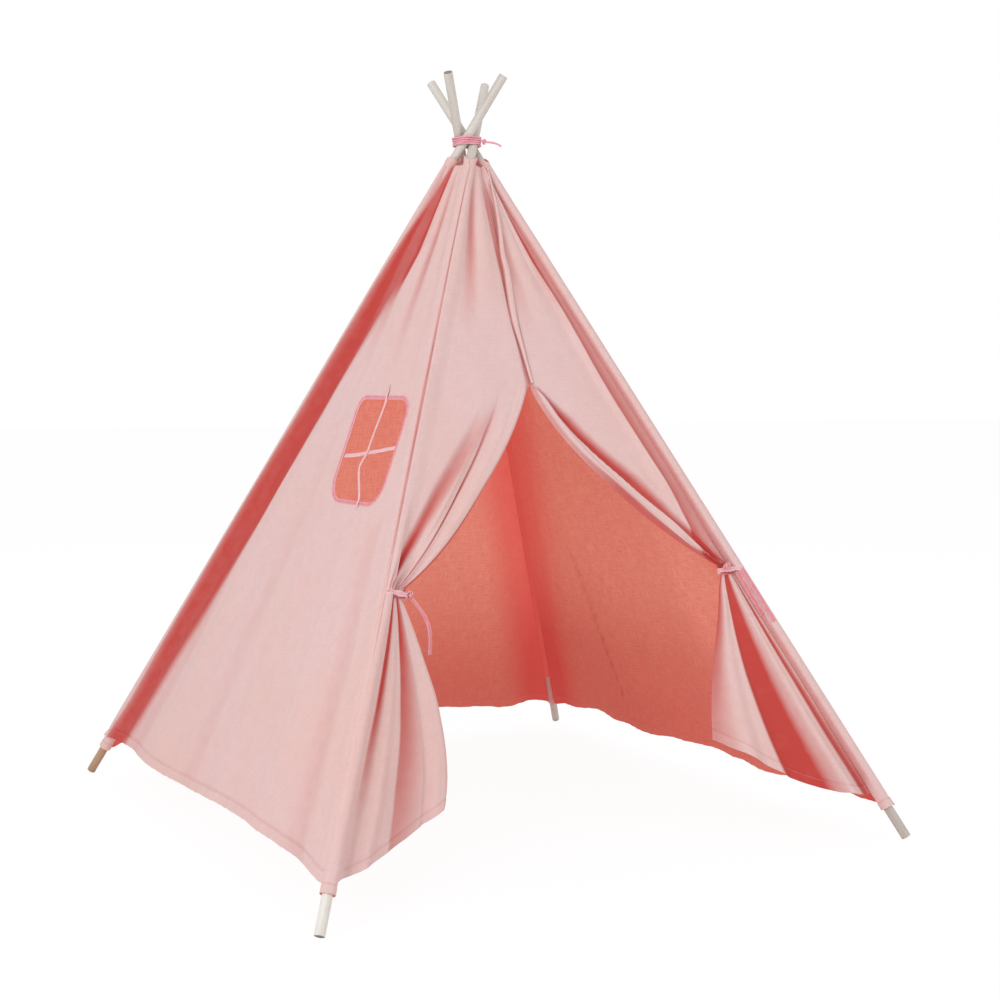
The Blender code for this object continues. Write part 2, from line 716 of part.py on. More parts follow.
def build_placket(materials, collection):
    """The strip sewn over the seam between the two front halves, from near the top to the apex."""
    stand_off = (CLOTH_THICKNESS + PLACKET_THICKNESS) / 2 + TOUCH_GAP
    top = PANEL_TOP_HEIGHT - PLACKET_TOP_MARGIN

    def surface(column, row):
        height = lerp(top, APEX_HEIGHT, row)
        start, end, normal = FRONT_WALL.span(height)
        along = (end - start).normalized()
        middle = FRONT_WALL.point(0.5, height, calm=0.0)
        width = min(PLACKET_WIDTH, (end - start).length / 2)
        return middle + along * (width * (column - 0.5)) + normal * stand_off

    across, along = even_shares(2), even_shares(PLACKET_ROWS)
    return cloth("front_placket", across, along, surface, PLACKET_THICKNESS, materials["cotton"], collection)


def band_frame(flap):
    """A matrix on the pole's axis at the tie: X across the flap, Y out of the tent, Z along the pole."""
    across, outward = flap.across(), flap.outward()
    turn = Matrix((across, outward, across.cross(outward))).transposed().to_4x4()
    return Matrix.Translation(flap.pole.at_drop(flap.pole.drop_of(TIE_HEIGHT))) @ turn


def band_discs(flap, extra):
    """The sleeve and the neck's far end as flat discs, grown by extra, for the band to go round."""
    far_end = SEW_RADIUS + flap.neck_width - BAND_END_RADIUS / 2
    return (
        (0.0, 0.0, SLEEVE_RADIUS + TOUCH_GAP + extra),
        (far_end, -SLEEVE_DIP, BAND_END_RADIUS + extra),
    )


def band_path(flap):
    """The band's line: over the sleeve's front, round the neck's far end and back to the sleeve."""
    discs = band_discs(flap, BAND_THICKNESS / 2)
    angles = [lerp(BAND_FRONT_ANGLE, BAND_TURN_ANGLE, share) for share in even_shares(BAND_STEPS)]
    seat = SLEEVE_RADIUS + BAND_THICKNESS
    back = (seat * math.cos(BAND_BACK_ANGLE), seat * math.sin(BAND_BACK_ANGLE))
    return [wrapped_point(discs, angle) for angle in angles] + [back]


def build_tie(flap, materials, collection):
    """A tie: a band from the sleeve round the neck, its knot, and its hanging tails."""
    ribbon = materials["ribbon"]
    frame = band_frame(flap)
    path = band_path(flap)

    def surface(column, row):
        x, y = path[row]
        return frame @ Vector((x, y, BAND_HEIGHT * (column - 0.5)))

    rows = list(range(len(path)))
    name = f"tie_band_{flap.label}"
    band = cloth(name, even_shares(1), rows, surface, BAND_THICKNESS, ribbon, collection)
    knot_angle = 0.0 if flap.side < 0 else math.pi / 2
    stand_off = BAND_THICKNESS + TOUCH_GAP + TIE_KNOT_RADIUS
    x, y = wrapped_point(band_discs(flap, stand_off), knot_angle)
    centre = frame @ Vector((x, y, 0))
    tie_knot = knot(f"tie_knot_{flap.label}", centre, TIE_KNOT_RADIUS, frame, ribbon, collection)
    return [band, tie_knot] + build_tails(flap, centre, materials, collection)


def build_tails(flap, knot_centre, materials, collection):
    """The ribbon's ends: one hangs free on the left, and two lie down the sleeve on the right."""
    ribbon = materials["ribbon"]
    across_shares = even_shares(1)
    if flap.side < 0:
        route = smooth_route([knot_centre + Vector(step) for step in LEFT_TAIL_ROUTE])
        width_axis = Vector((math.cos(HANGING_TAIL_TURN), math.sin(HANGING_TAIL_TURN), 0))

        def hanging(column, row):
            return route[row] + width_axis * (RIBBON_WIDTH * (column - 0.5))

        rows = list(range(len(route)))
        return [cloth("tie_tail_left", across_shares, rows, hanging, RIBBON_THICKNESS, ribbon, collection)]
    pole = flap.pole
    across, outward = flap.across(), flap.outward()
    start_drop = pole.drop_of(TIE_HEIGHT) + BAND_HEIGHT / 2 + TOUCH_GAP
    radius = SLEEVE_RADIUS + RIBBON_THICKNESS
    tails = []
    for name, length, lean in (
        ("tie_tail_right_long", LONG_TAIL_LENGTH, LONG_TAIL_LEAN),
        ("tie_tail_right_short", SHORT_TAIL_LENGTH, SHORT_TAIL_LEAN),
    ):
        half_angle = RIBBON_WIDTH / 2 / radius

        def lying(column, row, length=length, lean=lean, half_angle=half_angle):
            middle = math.copysign(half_angle + TAIL_PARTING, lean) + lean * row
            angle = middle - half_angle * (2 * column - 1)
            direction = outward * math.cos(angle) - across * math.sin(angle)
            return pole.at_drop(start_drop + length * row) + direction * radius

        columns, rows = even_shares(2), even_shares(TAIL_STEPS)
        tails.append(cloth(name, columns, rows, lying, RIBBON_THICKNESS, ribbon, collection))
    return tails


def lash_discs(height, extra):
    """The pole sections at a height, standing and folded, as flat discs grown by extra."""
    discs = []
    for pole in POLES:
        for down in (pole.down, pole.folded_down()):
            centre = pole.pivot + down * ((pole.pivot.z - height) / -down.z)
            discs.append((centre.x, centre.y, POLE_RADIUS / -down.z + extra))
    return discs


def lash_points():
    """The winding's centre line: a helix drawn taut round the four poles."""
    stand_off = TOUCH_GAP + LASH_CORD_DIAMETER / 2
    steps = LASH_TURNS * LASH_POINTS_PER_TURN
    bottom = LASH_HEIGHT - LASH_PITCH * LASH_TURNS / 2
    points = []
    for step in range(steps + 1):
        angle = LASH_KNOT_ANGLE + 2 * math.pi * step / LASH_POINTS_PER_TURN
        height = bottom + LASH_PITCH * step / LASH_POINTS_PER_TURN
        x, y = wrapped_point(lash_discs(height, stand_off), angle)
        points.append(Vector((x, y, height)))
    return points


def least_gap(points, diameter, skip):
    """The least clear distance between turns of a cord, leaving out neighbours along it."""
    dense = []
    for start, end in zip(points, points[1:]):
        dense += [start.lerp(end, share / 4) for share in range(4)]
    places = np.array([tuple(place) for place in dense])
    least = math.inf
    for index in range(len(places)):
        others = places[index + skip * 4 :]
        if len(others):
            least = min(least, float(np.linalg.norm(others - places[index], axis=1).min()))
    return least - diameter


def build_lash(materials, collection):
    """The lash winding, its knot on the door side and the knot's loose end."""
    points = lash_points()
    gap = least_gap(points, LASH_CORD_DIAMETER, LASH_POINTS_PER_TURN // 2)
    print(f"lash_winding: least gap between turns {gap * 1000:.2f} mm")
    pink = materials["cord"]
    winding = cord("lash_winding", points, LASH_CORD_DIAMETER, pink, collection)
    seat = LASH_CORD_DIAMETER / 2 + TOUCH_GAP + LASH_KNOT_RADIUS
    outward = Vector((math.cos(LASH_KNOT_ANGLE), math.sin(LASH_KNOT_ANGLE), 0))
    x, y = wrapped_point(lash_discs(LASH_HEIGHT, seat), LASH_KNOT_ANGLE)
    centre = Vector((x, y, LASH_HEIGHT))
    for _ in range(SEATING_STEPS):
        centre += outward * (seat - min((centre - point).length for point in points))
    lash_knot = knot("lash_knot", centre, LASH_KNOT_RADIUS, Matrix.Identity(4), pink, collection)
    route = smooth_route([centre + Vector(step) for step in LASH_TAIL_ROUTE])
    tail = cord("lash_tail", route, LASH_CORD_DIAMETER, pink, collection)
    return [winding, lash_knot, tail]


def hang_on(pole, pieces, collection):
    """Parent pieces to an empty at the pole's hinge in the lash, leaving them where they are."""
    pivot = bpy.data.objects.new(f"hinge_{pole.label}", None)
    pivot.location = pole.pivot
    collection.objects.link(pivot)
    for piece in pieces:
        piece.parent = pivot
        piece.matrix_parent_inverse = Matrix.Translation(-pole.pivot)


def main():
    """Build the teepee."""
    clear_scene()
    parts = make_collection("kids_teepee")
    cutters = make_collection("cutters")
    materials = {name: make_material(name) for name in MATERIALS}

    build_left_panel(materials, parts, cutters)
    build_wall("panel_right", RIGHT_WALL, RIGHT_HEM_HEIGHT, materials["coral_cotton"], parts)
    build_wall("panel_rear", REAR_WALL, REAR_HEM_HEIGHT, materials["coral_cotton"], parts)
    build_window_trim(materials, parts)
    build_placket(materials, parts)
    build_lash(materials, parts)

    on_pole = {pole.label: build_pole(pole, materials, parts) for pole in POLES}
    for flap in FLAPS:
        build_flap(flap, materials, parts)
        on_pole[flap.pole.label] += build_tie(flap, materials, parts)
        on_pole[flap.pole.label].append(build_skirt(flap, materials, parts))
    for pole in POLES:
        hang_on(pole, on_pole[pole.label], parts)


main()
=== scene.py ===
"""Looks of a kids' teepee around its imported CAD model: cotton cover, ribbon ties, lashed poles, pale studio.

Metres, +Z up. The origin is on the floor under the middle of the base. The door faces -Y and the window -X.
"""

import json
import logging
import math
from dataclasses import dataclass, field
from enum import Enum

import bpy
import numpy as np
from mathutils import Matrix, Vector

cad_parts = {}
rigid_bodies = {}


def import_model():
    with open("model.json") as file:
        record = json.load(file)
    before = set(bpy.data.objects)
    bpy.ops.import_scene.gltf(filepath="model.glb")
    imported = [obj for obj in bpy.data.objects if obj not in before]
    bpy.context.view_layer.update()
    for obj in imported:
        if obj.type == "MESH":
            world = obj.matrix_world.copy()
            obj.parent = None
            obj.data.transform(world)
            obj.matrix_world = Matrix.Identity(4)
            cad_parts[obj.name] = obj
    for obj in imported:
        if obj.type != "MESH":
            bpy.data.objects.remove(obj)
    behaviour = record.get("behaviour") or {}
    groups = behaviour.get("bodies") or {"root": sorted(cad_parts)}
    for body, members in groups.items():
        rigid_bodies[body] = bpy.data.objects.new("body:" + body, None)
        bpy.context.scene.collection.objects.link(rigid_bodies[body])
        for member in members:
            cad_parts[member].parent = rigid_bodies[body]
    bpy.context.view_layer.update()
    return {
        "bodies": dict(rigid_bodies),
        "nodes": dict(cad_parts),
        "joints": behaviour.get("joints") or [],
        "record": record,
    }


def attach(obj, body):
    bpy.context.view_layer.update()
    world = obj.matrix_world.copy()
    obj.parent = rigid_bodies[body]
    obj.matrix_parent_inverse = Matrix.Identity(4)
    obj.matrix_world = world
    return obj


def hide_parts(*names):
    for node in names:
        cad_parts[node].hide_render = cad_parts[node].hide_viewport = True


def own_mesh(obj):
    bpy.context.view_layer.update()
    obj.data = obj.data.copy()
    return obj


LOG = logging.getLogger("kids_teepee")
Array = np.ndarray
Colour = tuple[float, float, float, float]
Disc = tuple[float, float, float]
Piece = bpy.types.Object
Material = bpy.types.Material
Tree = bpy.types.NodeTree
Node = bpy.types.Node
Socket = bpy.types.NodeSocket
Inputs = dict[str | int, object]
WHITE: Colour = (1.0, 1.0, 1.0, 1.0)
SKY_STRENGTH = 0.62

# Sizes that the cover, the poles and the ties share with the CAD model
BASE_HALF_WIDTH = 0.600
BASE_HALF_DEPTH = 0.645
LASH_HEIGHT = 1.342
POLE_LENGTH = 1.750
POLE_RADIUS = 0.009
CROSSING_GAP = 0.0008
PIVOT_SPACING = (2 * POLE_RADIUS + CROSSING_GAP) * math.hypot(1, BASE_HALF_DEPTH / LASH_HEIGHT)
FOLD_ANGLE = math.radians(18.5)
SLEEVE_RADIUS = 0.0121
SEW_RADIUS = 0.0131
SEW_DIP = 0.005
SLEEVE_TOP = 1.309
SLEEVE_END = 0.060
COVER_TOP = 1.288
WALL_LEVEL = 0.008
PLEAT_DEPTH = 0.016
APEX_HEIGHT = 0.856
TIE_HEIGHT = 0.505
BAND_HEIGHT = 0.012
BAND_THICKNESS = 0.0014
KNOT_RADIUS = 0.0065
CONTACT_GAP = 0.0003

# Sizes of the cloth and the cords alone
CLOTH_THICKNESS = 0.0013
CHANNEL_THICKNESS = 0.0011
RIBBON_THICKNESS = 0.0011
CHANNEL_SKIN = SLEEVE_RADIUS + 0.0013
HEM_LINE = 0.0175
HEM_TURN = 0.002
HEM_GROOVE = 0.0022
CHANNEL_HEM = 0.015
# Painted shade in the hollows of the gathers at the cover's top.
GATHER_SHADE = 0.62
CORD_SIDES = 15
CORD_STRANDS = 3

# Height gained for each metre up the left wall
LEFT_WALL_RISE = 0.91243


def ease(value: Array | float) -> Array:
    """Smooth step of a value from 0 to 1."""
    value = np.clip(value, 0.0, 1.0)
    return value * value * (3 - 2 * value)


def ramp(value: Array, start: float | Array, end: float | Array) -> Array:
    """Smooth step that is 0 at start and 1 at end, either way round."""
    return ease((value - start) / (end - start))


def hump(value: Array, start: float | Array, peak: float | Array, end: float | Array) -> Array:
    """Smooth hump: 0 outside start and end, and 1 at the peak."""
    return np.where(value < peak, ramp(value, start, peak), 1 - ramp(value, peak, end))


def bell(value: Array, middle: float | Array, width: float) -> Array:
    """Soft peak: 1 at its middle, and fading to either side."""
    return np.exp(-(((value - middle) / width) ** 2))


def bow(share: Array) -> Array:
    """Half a wave: 0 at shares 0 and 1, and 1 between them."""
    return np.sin(math.pi * np.clip(share, 0, 1))


def unit(vector: Array) -> Array:
    """Vectors scaled to a length of 1."""
    return vector / np.linalg.norm(vector, axis=-1, keepdims=True)


def lengths(line: Array) -> Array:
    """Distance of each point of a line from its start, along it."""
    return np.concatenate([[0], np.cumsum(np.linalg.norm(np.diff(line, axis=0), axis=1))])


def spaced(line: Array, at: Array) -> Array:
    """Points of a line at distances from its start."""
    return np.stack([np.interp(at, lengths(line), line[:, axis]) for axis in range(line.shape[1])], axis=1)


def placed(points: Array, frame: Array) -> Array:
    """Points given in a frame, moved to where the frame stands."""
    return points @ frame[:3, :3].T + frame[:3, 3]


def with_third(flat: Array) -> Array:
    """Flat points with a third place of zero."""
    return np.concatenate([flat, np.zeros((len(flat), 1))], axis=1)


def slant(low: float, lean: float) -> float:
    """Length of a sloping wall from a height to the cover's top, where its foot stands out by lean."""
    return (COVER_TOP - low) * math.hypot(1, lean / LASH_HEIGHT)


# Lines and planes of the frame


@dataclass
class PoleLine:
    """The straight line of one pole through the lash.

    Args:
        label: The pole's name in the CAD model.
        side_x: Which side of the base its foot stands on, -1 for the window's side.
        side_y: Which side its foot stands on, -1 for the door's side.
        lash_x: Which side of the lash it passes, across.
        lash_y: Which side of the lash it passes, front or back.
    """

    label: str
    side_x: int
    side_y: int
    lash_x: int
    lash_y: int

    def __post_init__(self) -> None:
        """Work out the pivot, the foot and the direction down."""
        half = PIVOT_SPACING / 2
        self.pivot = np.array((self.lash_x * half, self.lash_y * half, LASH_HEIGHT))
        foot = np.array((self.side_x * BASE_HALF_WIDTH, self.side_y * BASE_HALF_DEPTH, 0.0))
        for _ in range(12):
            down = unit(foot - self.pivot)
            foot[2] = POLE_RADIUS * math.hypot(down[0], down[1])
        self.down = unit(foot - self.pivot)
        self.below = float(np.linalg.norm(foot - self.pivot))

    @property
    def body(self) -> str:
        """The CAD body that this pole is."""
        return f"pole_{self.label}"

    def at_drop(self, drop: Array | float) -> Array:
        """Points of the axis at a distance below the lash."""
        return self.pivot + np.multiply.outer(drop, self.down)

    def drop_of(self, height: Array | float) -> Array | float:
        """Distance below the lash, along the pole, of a height above the floor."""
        return (LASH_HEIGHT - height) / -self.down[2]

    def at_height(self, height: Array | float) -> Array:
        """Points of the axis at a height above the floor."""
        return self.at_drop(self.drop_of(height))

    def matrix(self, drop: float, facing: Array) -> Matrix:
        """A frame on the axis: Z up the pole, and X square to it and nearest to facing.

        Args:
            drop: Distance below the lash.
            facing: Direction that X turns to.

        Returns:
            The frame as a 4x4 matrix.
        """
        up = -self.down
        across = unit(facing - up * (facing @ up))
        turn = Matrix((across, np.cross(up, across), up)).transposed().to_4x4()
        return Matrix.Translation(self.at_drop(drop)) @ turn

    def folded_down(self) -> Array:
        """Where the pole points once it is folded.

        Returns:
            The direction down the pole, below the lash.
        """
        plane = unit(np.array((0.0, self.down[1], self.down[2])))
        axis = Vector((0.0, plane[2], -plane[1])) * -self.side_x
        return np.array(Matrix.Rotation(FOLD_ANGLE, 3, axis) @ Vector(self.down))


FRONT_LEFT = PoleLine("front_left", -1, -1, 1, -1)
FRONT_RIGHT = PoleLine("front_right", 1, -1, 1, 1)
BACK_LEFT = PoleLine("back_left", -1, 1, -1, -1)
BACK_RIGHT = PoleLine("back_right", 1, 1, -1, 1)
POLES = (FRONT_LEFT, FRONT_RIGHT, BACK_LEFT, BACK_RIGHT)


@dataclass
class WallPlane:
    """The sloping plane between two poles.

    Args:
        first: The pole that distances along the wall start from.
        second: The pole at the other side.
        outward: Rough direction out of the tent.
    """

    first: PoleLine
    second: PoleLine
    outward: tuple[float, float, float]

    def span(self, height: Array) -> tuple[Array, Array, Array, Array]:
        """The wall from pole to pole, at given heights.

        Args:
            height: Heights above the floor.

        Returns:
            A point of the first axis, the direction along the wall, its width and its normal.
        """
        start, end = self.first.at_height(height), self.second.at_height(height)
        width = np.linalg.norm(end - start, axis=-1)
        along = (end - start) / width[..., None]
        normal = unit(np.cross(along, unit(self.first.down + self.second.down)))
        if (normal.reshape(-1, 3) @ np.array(self.outward)).mean() < 0:
            normal = -normal
        return start, along, width, normal

    def lay(self, distance: Array, height: Array, depth: Array) -> Array:
        """Points at a distance from the first pole's axis, standing out of the plane by depth."""
        start, along, _, normal = self.span(height)
        return start + along * distance[..., None] + normal * depth[..., None]


LEFT_PLANE = WallPlane(BACK_LEFT, FRONT_LEFT, (-1, 0, 0))
RIGHT_PLANE = WallPlane(FRONT_RIGHT, BACK_RIGHT, (1, 0, 0))
REAR_PLANE = WallPlane(BACK_RIGHT, BACK_LEFT, (0, 1, 0))
FRONT_PLANE = WallPlane(FRONT_LEFT, FRONT_RIGHT, (0, -1, 0))


# Shader nodes


class Bench:
    """Adds nodes to one tree and joins them."""

    def __init__(self, tree: Tree) -> None:
        """Work on one node tree."""
        self.tree = tree

    def feed(self, made: Node, inputs: Inputs) -> None:
        """Give a node's inputs their values, or join other nodes' outputs to them.

        Args:
            made: The node.
            inputs: What each input gets, by its name or number.
        """
        for key, value in inputs.items():
            if isinstance(value, Socket):
                self.tree.links.new(value, made.inputs[key])
            else:
                made.inputs[key].default_value = value

    def node(self, kind: str, inputs: Inputs | None = None, **settings: object) -> Node:
        """Add a node.

        Args:
            kind: Its type.
            inputs: What each input gets, by its name or number.
            settings: Its settings, which come before the inputs.

        Returns:
            The node.
        """
        made = self.tree.nodes.new(kind)
        for key, value in settings.items():
            setattr(made, key, value)
        self.feed(made, inputs or {})
        return made

    def math(self, operation: str, *values: object, clamp: bool = False) -> Socket:
        """A Math node on sockets or numbers."""
        inputs = dict(enumerate(values))
        return self.node("ShaderNodeMath", inputs, operation=operation, use_clamp=clamp).outputs[0]

    def times(self, first: object, second: object, clamp: bool = False) -> Socket:
        """One value times another."""
        return self.math("MULTIPLY", first, second, clamp=clamp)

    def plus(self, first: object, second: object, clamp: bool = False) -> Socket:
        """One value and another added up."""
        return self.math("ADD", first, second, clamp=clamp)

    def scaled(self, vector: Socket, *scale: float) -> Socket:
        """A vector times a scale on each axis."""
        return self.node("ShaderNodeVectorMath", {0: vector, 1: scale}, operation="MULTIPLY").outputs[0]

    def noise(self, vector: Socket, detail: float, scale: object = 1.0) -> Socket:
        """Noise from 0 to 1 on a vector."""
        inputs = {"Vector": vector, "Scale": scale, "Detail": detail}
        return self.node("ShaderNodeTexNoise", inputs).outputs[0]

    def blend(self, share: object, first: object, second: object, mode: str = "MIX") -> Socket:
        """Mix two colours by a share."""
        inputs = {"Factor": share, "A": first, "B": second}
        return self.node("ShaderNodeMix", inputs, data_type="RGBA", blend_type=mode).outputs["Result"]

    def band(self, value: object, low: float, high: float) -> Socket:
        """Stretch a value so that low becomes 0 and high becomes 1, clamped."""
        return self.node("ShaderNodeMapRange", {"Value": value, "From Min": low, "From Max": high}).outputs[0]

    def attribute(self, name: str) -> Socket:
        """A piece's own number that varies over its surface."""
        return self.node("ShaderNodeAttribute", attribute_name=name).outputs["Fac"]

    def cloth_place(self) -> Socket:
        """Place on the flat cloth, in metres."""
        return self.node("ShaderNodeUVMap", uv_map="cloth").outputs[0]

    def own_place(self) -> Socket:
        """Place in the piece's own axes."""
        return self.node("ShaderNodeTexCoord").outputs["Object"]

    def split(self, vector: Socket) -> object:
        """The three numbers of a vector, as outputs."""
        return self.node("ShaderNodeSeparateXYZ", {0: vector}).outputs

    def bump(self, height: Socket, distance: float, strength: float) -> Socket:
        """A normal that follows a height."""
        inputs = {"Height": height, "Distance": distance, "Strength": strength}
        return self.node("ShaderNodeBump", inputs).outputs[0]

    def place(self, group: Tree, **inputs: object) -> object:
        """Place a shared group with its own values, and give its outputs."""
        return self.node("ShaderNodeGroup", inputs, node_tree=group).outputs


def new_group(name: str, inputs: dict[str, str], *outputs: str) -> tuple[Bench, object, Node]:
    """Start a shader node group.

    Args:
        name: The group's name.
        inputs: Input names and what they carry, "Vector" or "Float".
        outputs: Names of the outputs, all numbers.

    Returns:
        A bench on the group's tree, what its input node gives and its output node.
    """
    tree = bpy.data.node_groups.new(name, "ShaderNodeTree")
    for label, kind in inputs.items():
        tree.interface.new_socket(label, in_out="INPUT", socket_type=f"NodeSocket{kind}")
    for label in outputs:
        tree.interface.new_socket(label, in_out="OUTPUT", socket_type="NodeSocketFloat")
    bench = Bench(tree)
    return bench, bench.node("NodeGroupInput").outputs, bench.node("NodeGroupOutput")


def weave_group() -> Tree:
    """Plain weave: crossed threads with thicker slubs here and there, in metres of cloth.

    Returns:
        The group.
    """
    bench, given, result = new_group("plain_weave", {"Place": "Vector", "Pitch": "Float"}, "Tone", "Height")
    place = given["Place"]
    split = bench.split(place)
    turns = [bench.times(bench.math("DIVIDE", split[axis], given["Pitch"]), math.pi) for axis in (0, 1)]
    threads = bench.times(*(bench.math("SINE", turn) for turn in turns))
    warp = bench.noise(bench.scaled(place, 270.0, 34.0, 1.0), 3.0)
    weft = bench.noise(bench.scaled(place, 34.0, 270.0, 1.0), 3.0)
    fleck = bench.noise(bench.scaled(place, 430.0, 430.0, 1.0), 1.0)
    slub = bench.math("MAXIMUM", warp, weft)
    tone = bench.plus(bench.times(slub, 0.6), bench.times(fleck, 0.4))
    height = bench.plus(bench.times(threads, 0.35), slub)
    bench.feed(result, {"Tone": bench.band(tone, 0.38, 0.66), "Height": height})
    return bench.tree


def mottle_group() -> Tree:
    """Slow change of tone over a surface, as dye and handling leave it.

    Returns:
        The group.
    """
    bench, given, result = new_group("slow_mottle", {"Place": "Vector", "Scale": "Float"}, "Share")
    clouds = bench.noise(given["Place"], 3.0, given["Scale"])
    bench.feed(result, {"Share": bench.band(clouds, 0.32, 0.68)})
    return bench.tree


def stitch_group() -> Tree:
    """A row of stitches beside an edge: mask of the thread, and mask of the pulled-in groove it lies in, which
    takes painted shade.

    Returns:
        The group.
    """
    inputs = {"Off": "Float", "Run": "Float", "Line": "Float"}
    bench, given, result = new_group("stitch_row", inputs, "Thread", "Groove")
    away = bench.math("ABSOLUTE", bench.math("SUBTRACT", given["Off"], given["Line"]))
    turn = bench.math("FRACT", bench.math("DIVIDE", given["Run"], 0.0036))
    thread = bench.times(bench.math("LESS_THAN", turn, 0.62), bench.band(away, 0.00075, 0.00035))
    bench.feed(result, {"Thread": thread, "Groove": bench.band(away, 0.0018, 0.0)})
    return bench.tree


def grain_group() -> Tree:
    """Wood grain on a stick: long streaks and pores along its third axis.

    Returns:
        The group.
    """
    bench, given, result = new_group("stick_grain", {"Place": "Vector"}, "Streak", "Pore")
    streak = bench.noise(bench.scaled(given["Place"], 140.0, 140.0, 5.0), 4.0)
    pore = bench.noise(bench.scaled(given["Place"], 1500.0, 1500.0, 60.0), 1.0)
    bench.feed(result, {"Streak": bench.band(streak, 0.3, 0.7), "Pore": bench.band(pore, 0.62, 0.75)})
    return bench.tree


@dataclass
class Groups:
    """The node groups that several finishes share, each made once."""

    weave: Tree = field(default_factory=weave_group)
    mottle: Tree = field(default_factory=mottle_group)
    stitch: Tree = field(default_factory=stitch_group)
    grain: Tree = field(default_factory=grain_group)


def colour(*shown: float) -> Colour:
    """A linear colour from display values of 0 to 255, red, green and blue."""
    share = np.array(shown) / 255
    return (*np.where(share <= 0.04045, share / 12.92, ((share + 0.055) / 1.055) ** 2.4).tolist(), 1.0)


def new_material(name: str) -> tuple[Bench, Node, Material]:
    """Start a material.

    Args:
        name: The material's name.

    Returns:
        A bench on its tree, its Principled shader and the material.
    """
    material = bpy.data.materials.new(name)
    material.use_nodes = True
    return Bench(material.node_tree), material.node_tree.nodes["Principled BSDF"], material


@dataclass(frozen=True)
class CottonFinish:
    """Woven cotton, paler where it lies open, and coral as painted shade where it falls into a fold.

    Args:
        name: The material's name.
        open_colour: Colour of the cloth where it lies open.
        warm_colour: Colour that the open cloth drifts to in places.
        fold_colour: Colour of the painted shade in the depth of a fold.
        shade: The attribute that says how much painted shade the surface takes.
        fleck_colour: Colour of the thicker threads.
        weave_share: How far the weave shows in the colour.
        glow: Strength of emission, painted light for daylight that comes through the cloth from its other
            side.
    """

    name: str
    open_colour: Colour
    warm_colour: Colour
    fold_colour: Colour
    shade: str
    fleck_colour: Colour
    weave_share: float
    glow: float = 0.0

    def make(self, groups: Groups) -> Material:
        """Build the material.

        Args:
            groups: The shared node groups.

        Returns:
            The material.
        """
        bench, shader, material = new_material(self.name)
        coords = bench.own_place()
        weave = bench.place(groups.weave, Place=bench.cloth_place(), Pitch=0.0011)
        mottle = bench.place(groups.mottle, Place=coords, Scale=3.2)[0]
        fine = bench.place(groups.mottle, Place=coords, Scale=38.0)[0]
        off, run = bench.attribute("hem_off"), bench.attribute("hem_run")
        stitch = bench.place(groups.stitch, Off=off, Run=run, Line=0.016)
        base = bench.blend(mottle, self.open_colour, self.warm_colour)
        base = bench.blend(bench.times(weave["Tone"], self.weave_share), base, self.fleck_colour)
        depth = bench.plus(bench.attribute(self.shade), bench.times(fine, 0.05))
        # Painted shade: coral by the piece's shade attribute, in folds, corners and seams.
        base = bench.blend(bench.math("SUBTRACT", depth, 0.02, clamp=True), base, self.fold_colour)
        # Painted shade in the stitched groove beside each hem.
        base = bench.blend(bench.times(stitch["Groove"], 0.12), base, self.fold_colour)
        thread_colour = bench.blend(0.5, self.warm_colour, (0.9, 0.5, 0.5, 1.0))
        base = bench.blend(bench.times(stitch["Thread"], 0.35), base, thread_colour)
        if self.glow:
            # Painted shade inside: darker where the deep attribute says the cloth lies far from the daylight.
            dark = bench.blend(1.0, base, (0.76, 0.62, 0.60, 1.0), "MULTIPLY")
            base = bench.blend(bench.attribute("deep"), base, dark)
            # Painted light: the inner colour given out as emission, for daylight coming through the cloth.
            bench.feed(shader, {"Emission Color": base, "Emission Strength": self.glow})
        relief = bench.plus(weave["Height"], bench.times(fine, 1.5))
        bench.feed(shader, {
            "Base Color": base, "Roughness": bench.plus(bench.times(weave["Tone"], 0.08), 0.86),
            "Normal": bench.bump(relief, 0.0003, 0.7), "Sheen Weight": 0.08, "Specular IOR Level": 0.2,
        })
        return material


@dataclass(frozen=True)
class RibbonFinish:
    """Woven ribbon: fine ribs across it, painted shade towards its middle and painted highlights on its edges.
    """

    name: str
    open_colour: Colour
    # Colour of painted shade, which random mottle also reaches.
    shade_and_mottle_colour: Colour

    def make(self, groups: Groups) -> Material:
        """Build the material.

        Args:
            groups: The shared node groups.

        Returns:
            The material.
        """
        bench, shader, material = new_material(self.name)
        across = bench.split(bench.cloth_place())[1]
        rib = bench.math("SINE", bench.times(across, 2 * math.pi / 0.0009))
        mottle = bench.place(groups.mottle, Place=bench.own_place(), Scale=120.0)[0]
        # Painted shade from the swept section, with random mottle and the woven ribs.
        depth = bench.plus(bench.attribute("valley"), bench.times(mottle, 0.25))
        depth = bench.plus(depth, bench.times(rib, 0.06), clamp=True)
        bench.feed(shader, {
            "Base Color": bench.blend(depth, self.open_colour, self.shade_and_mottle_colour),
            "Roughness": bench.plus(bench.times(mottle, 0.15), 0.5),
            "Normal": bench.bump(rib, 0.0001, 0.6), "Sheen Weight": 0.2,
        })
        return material


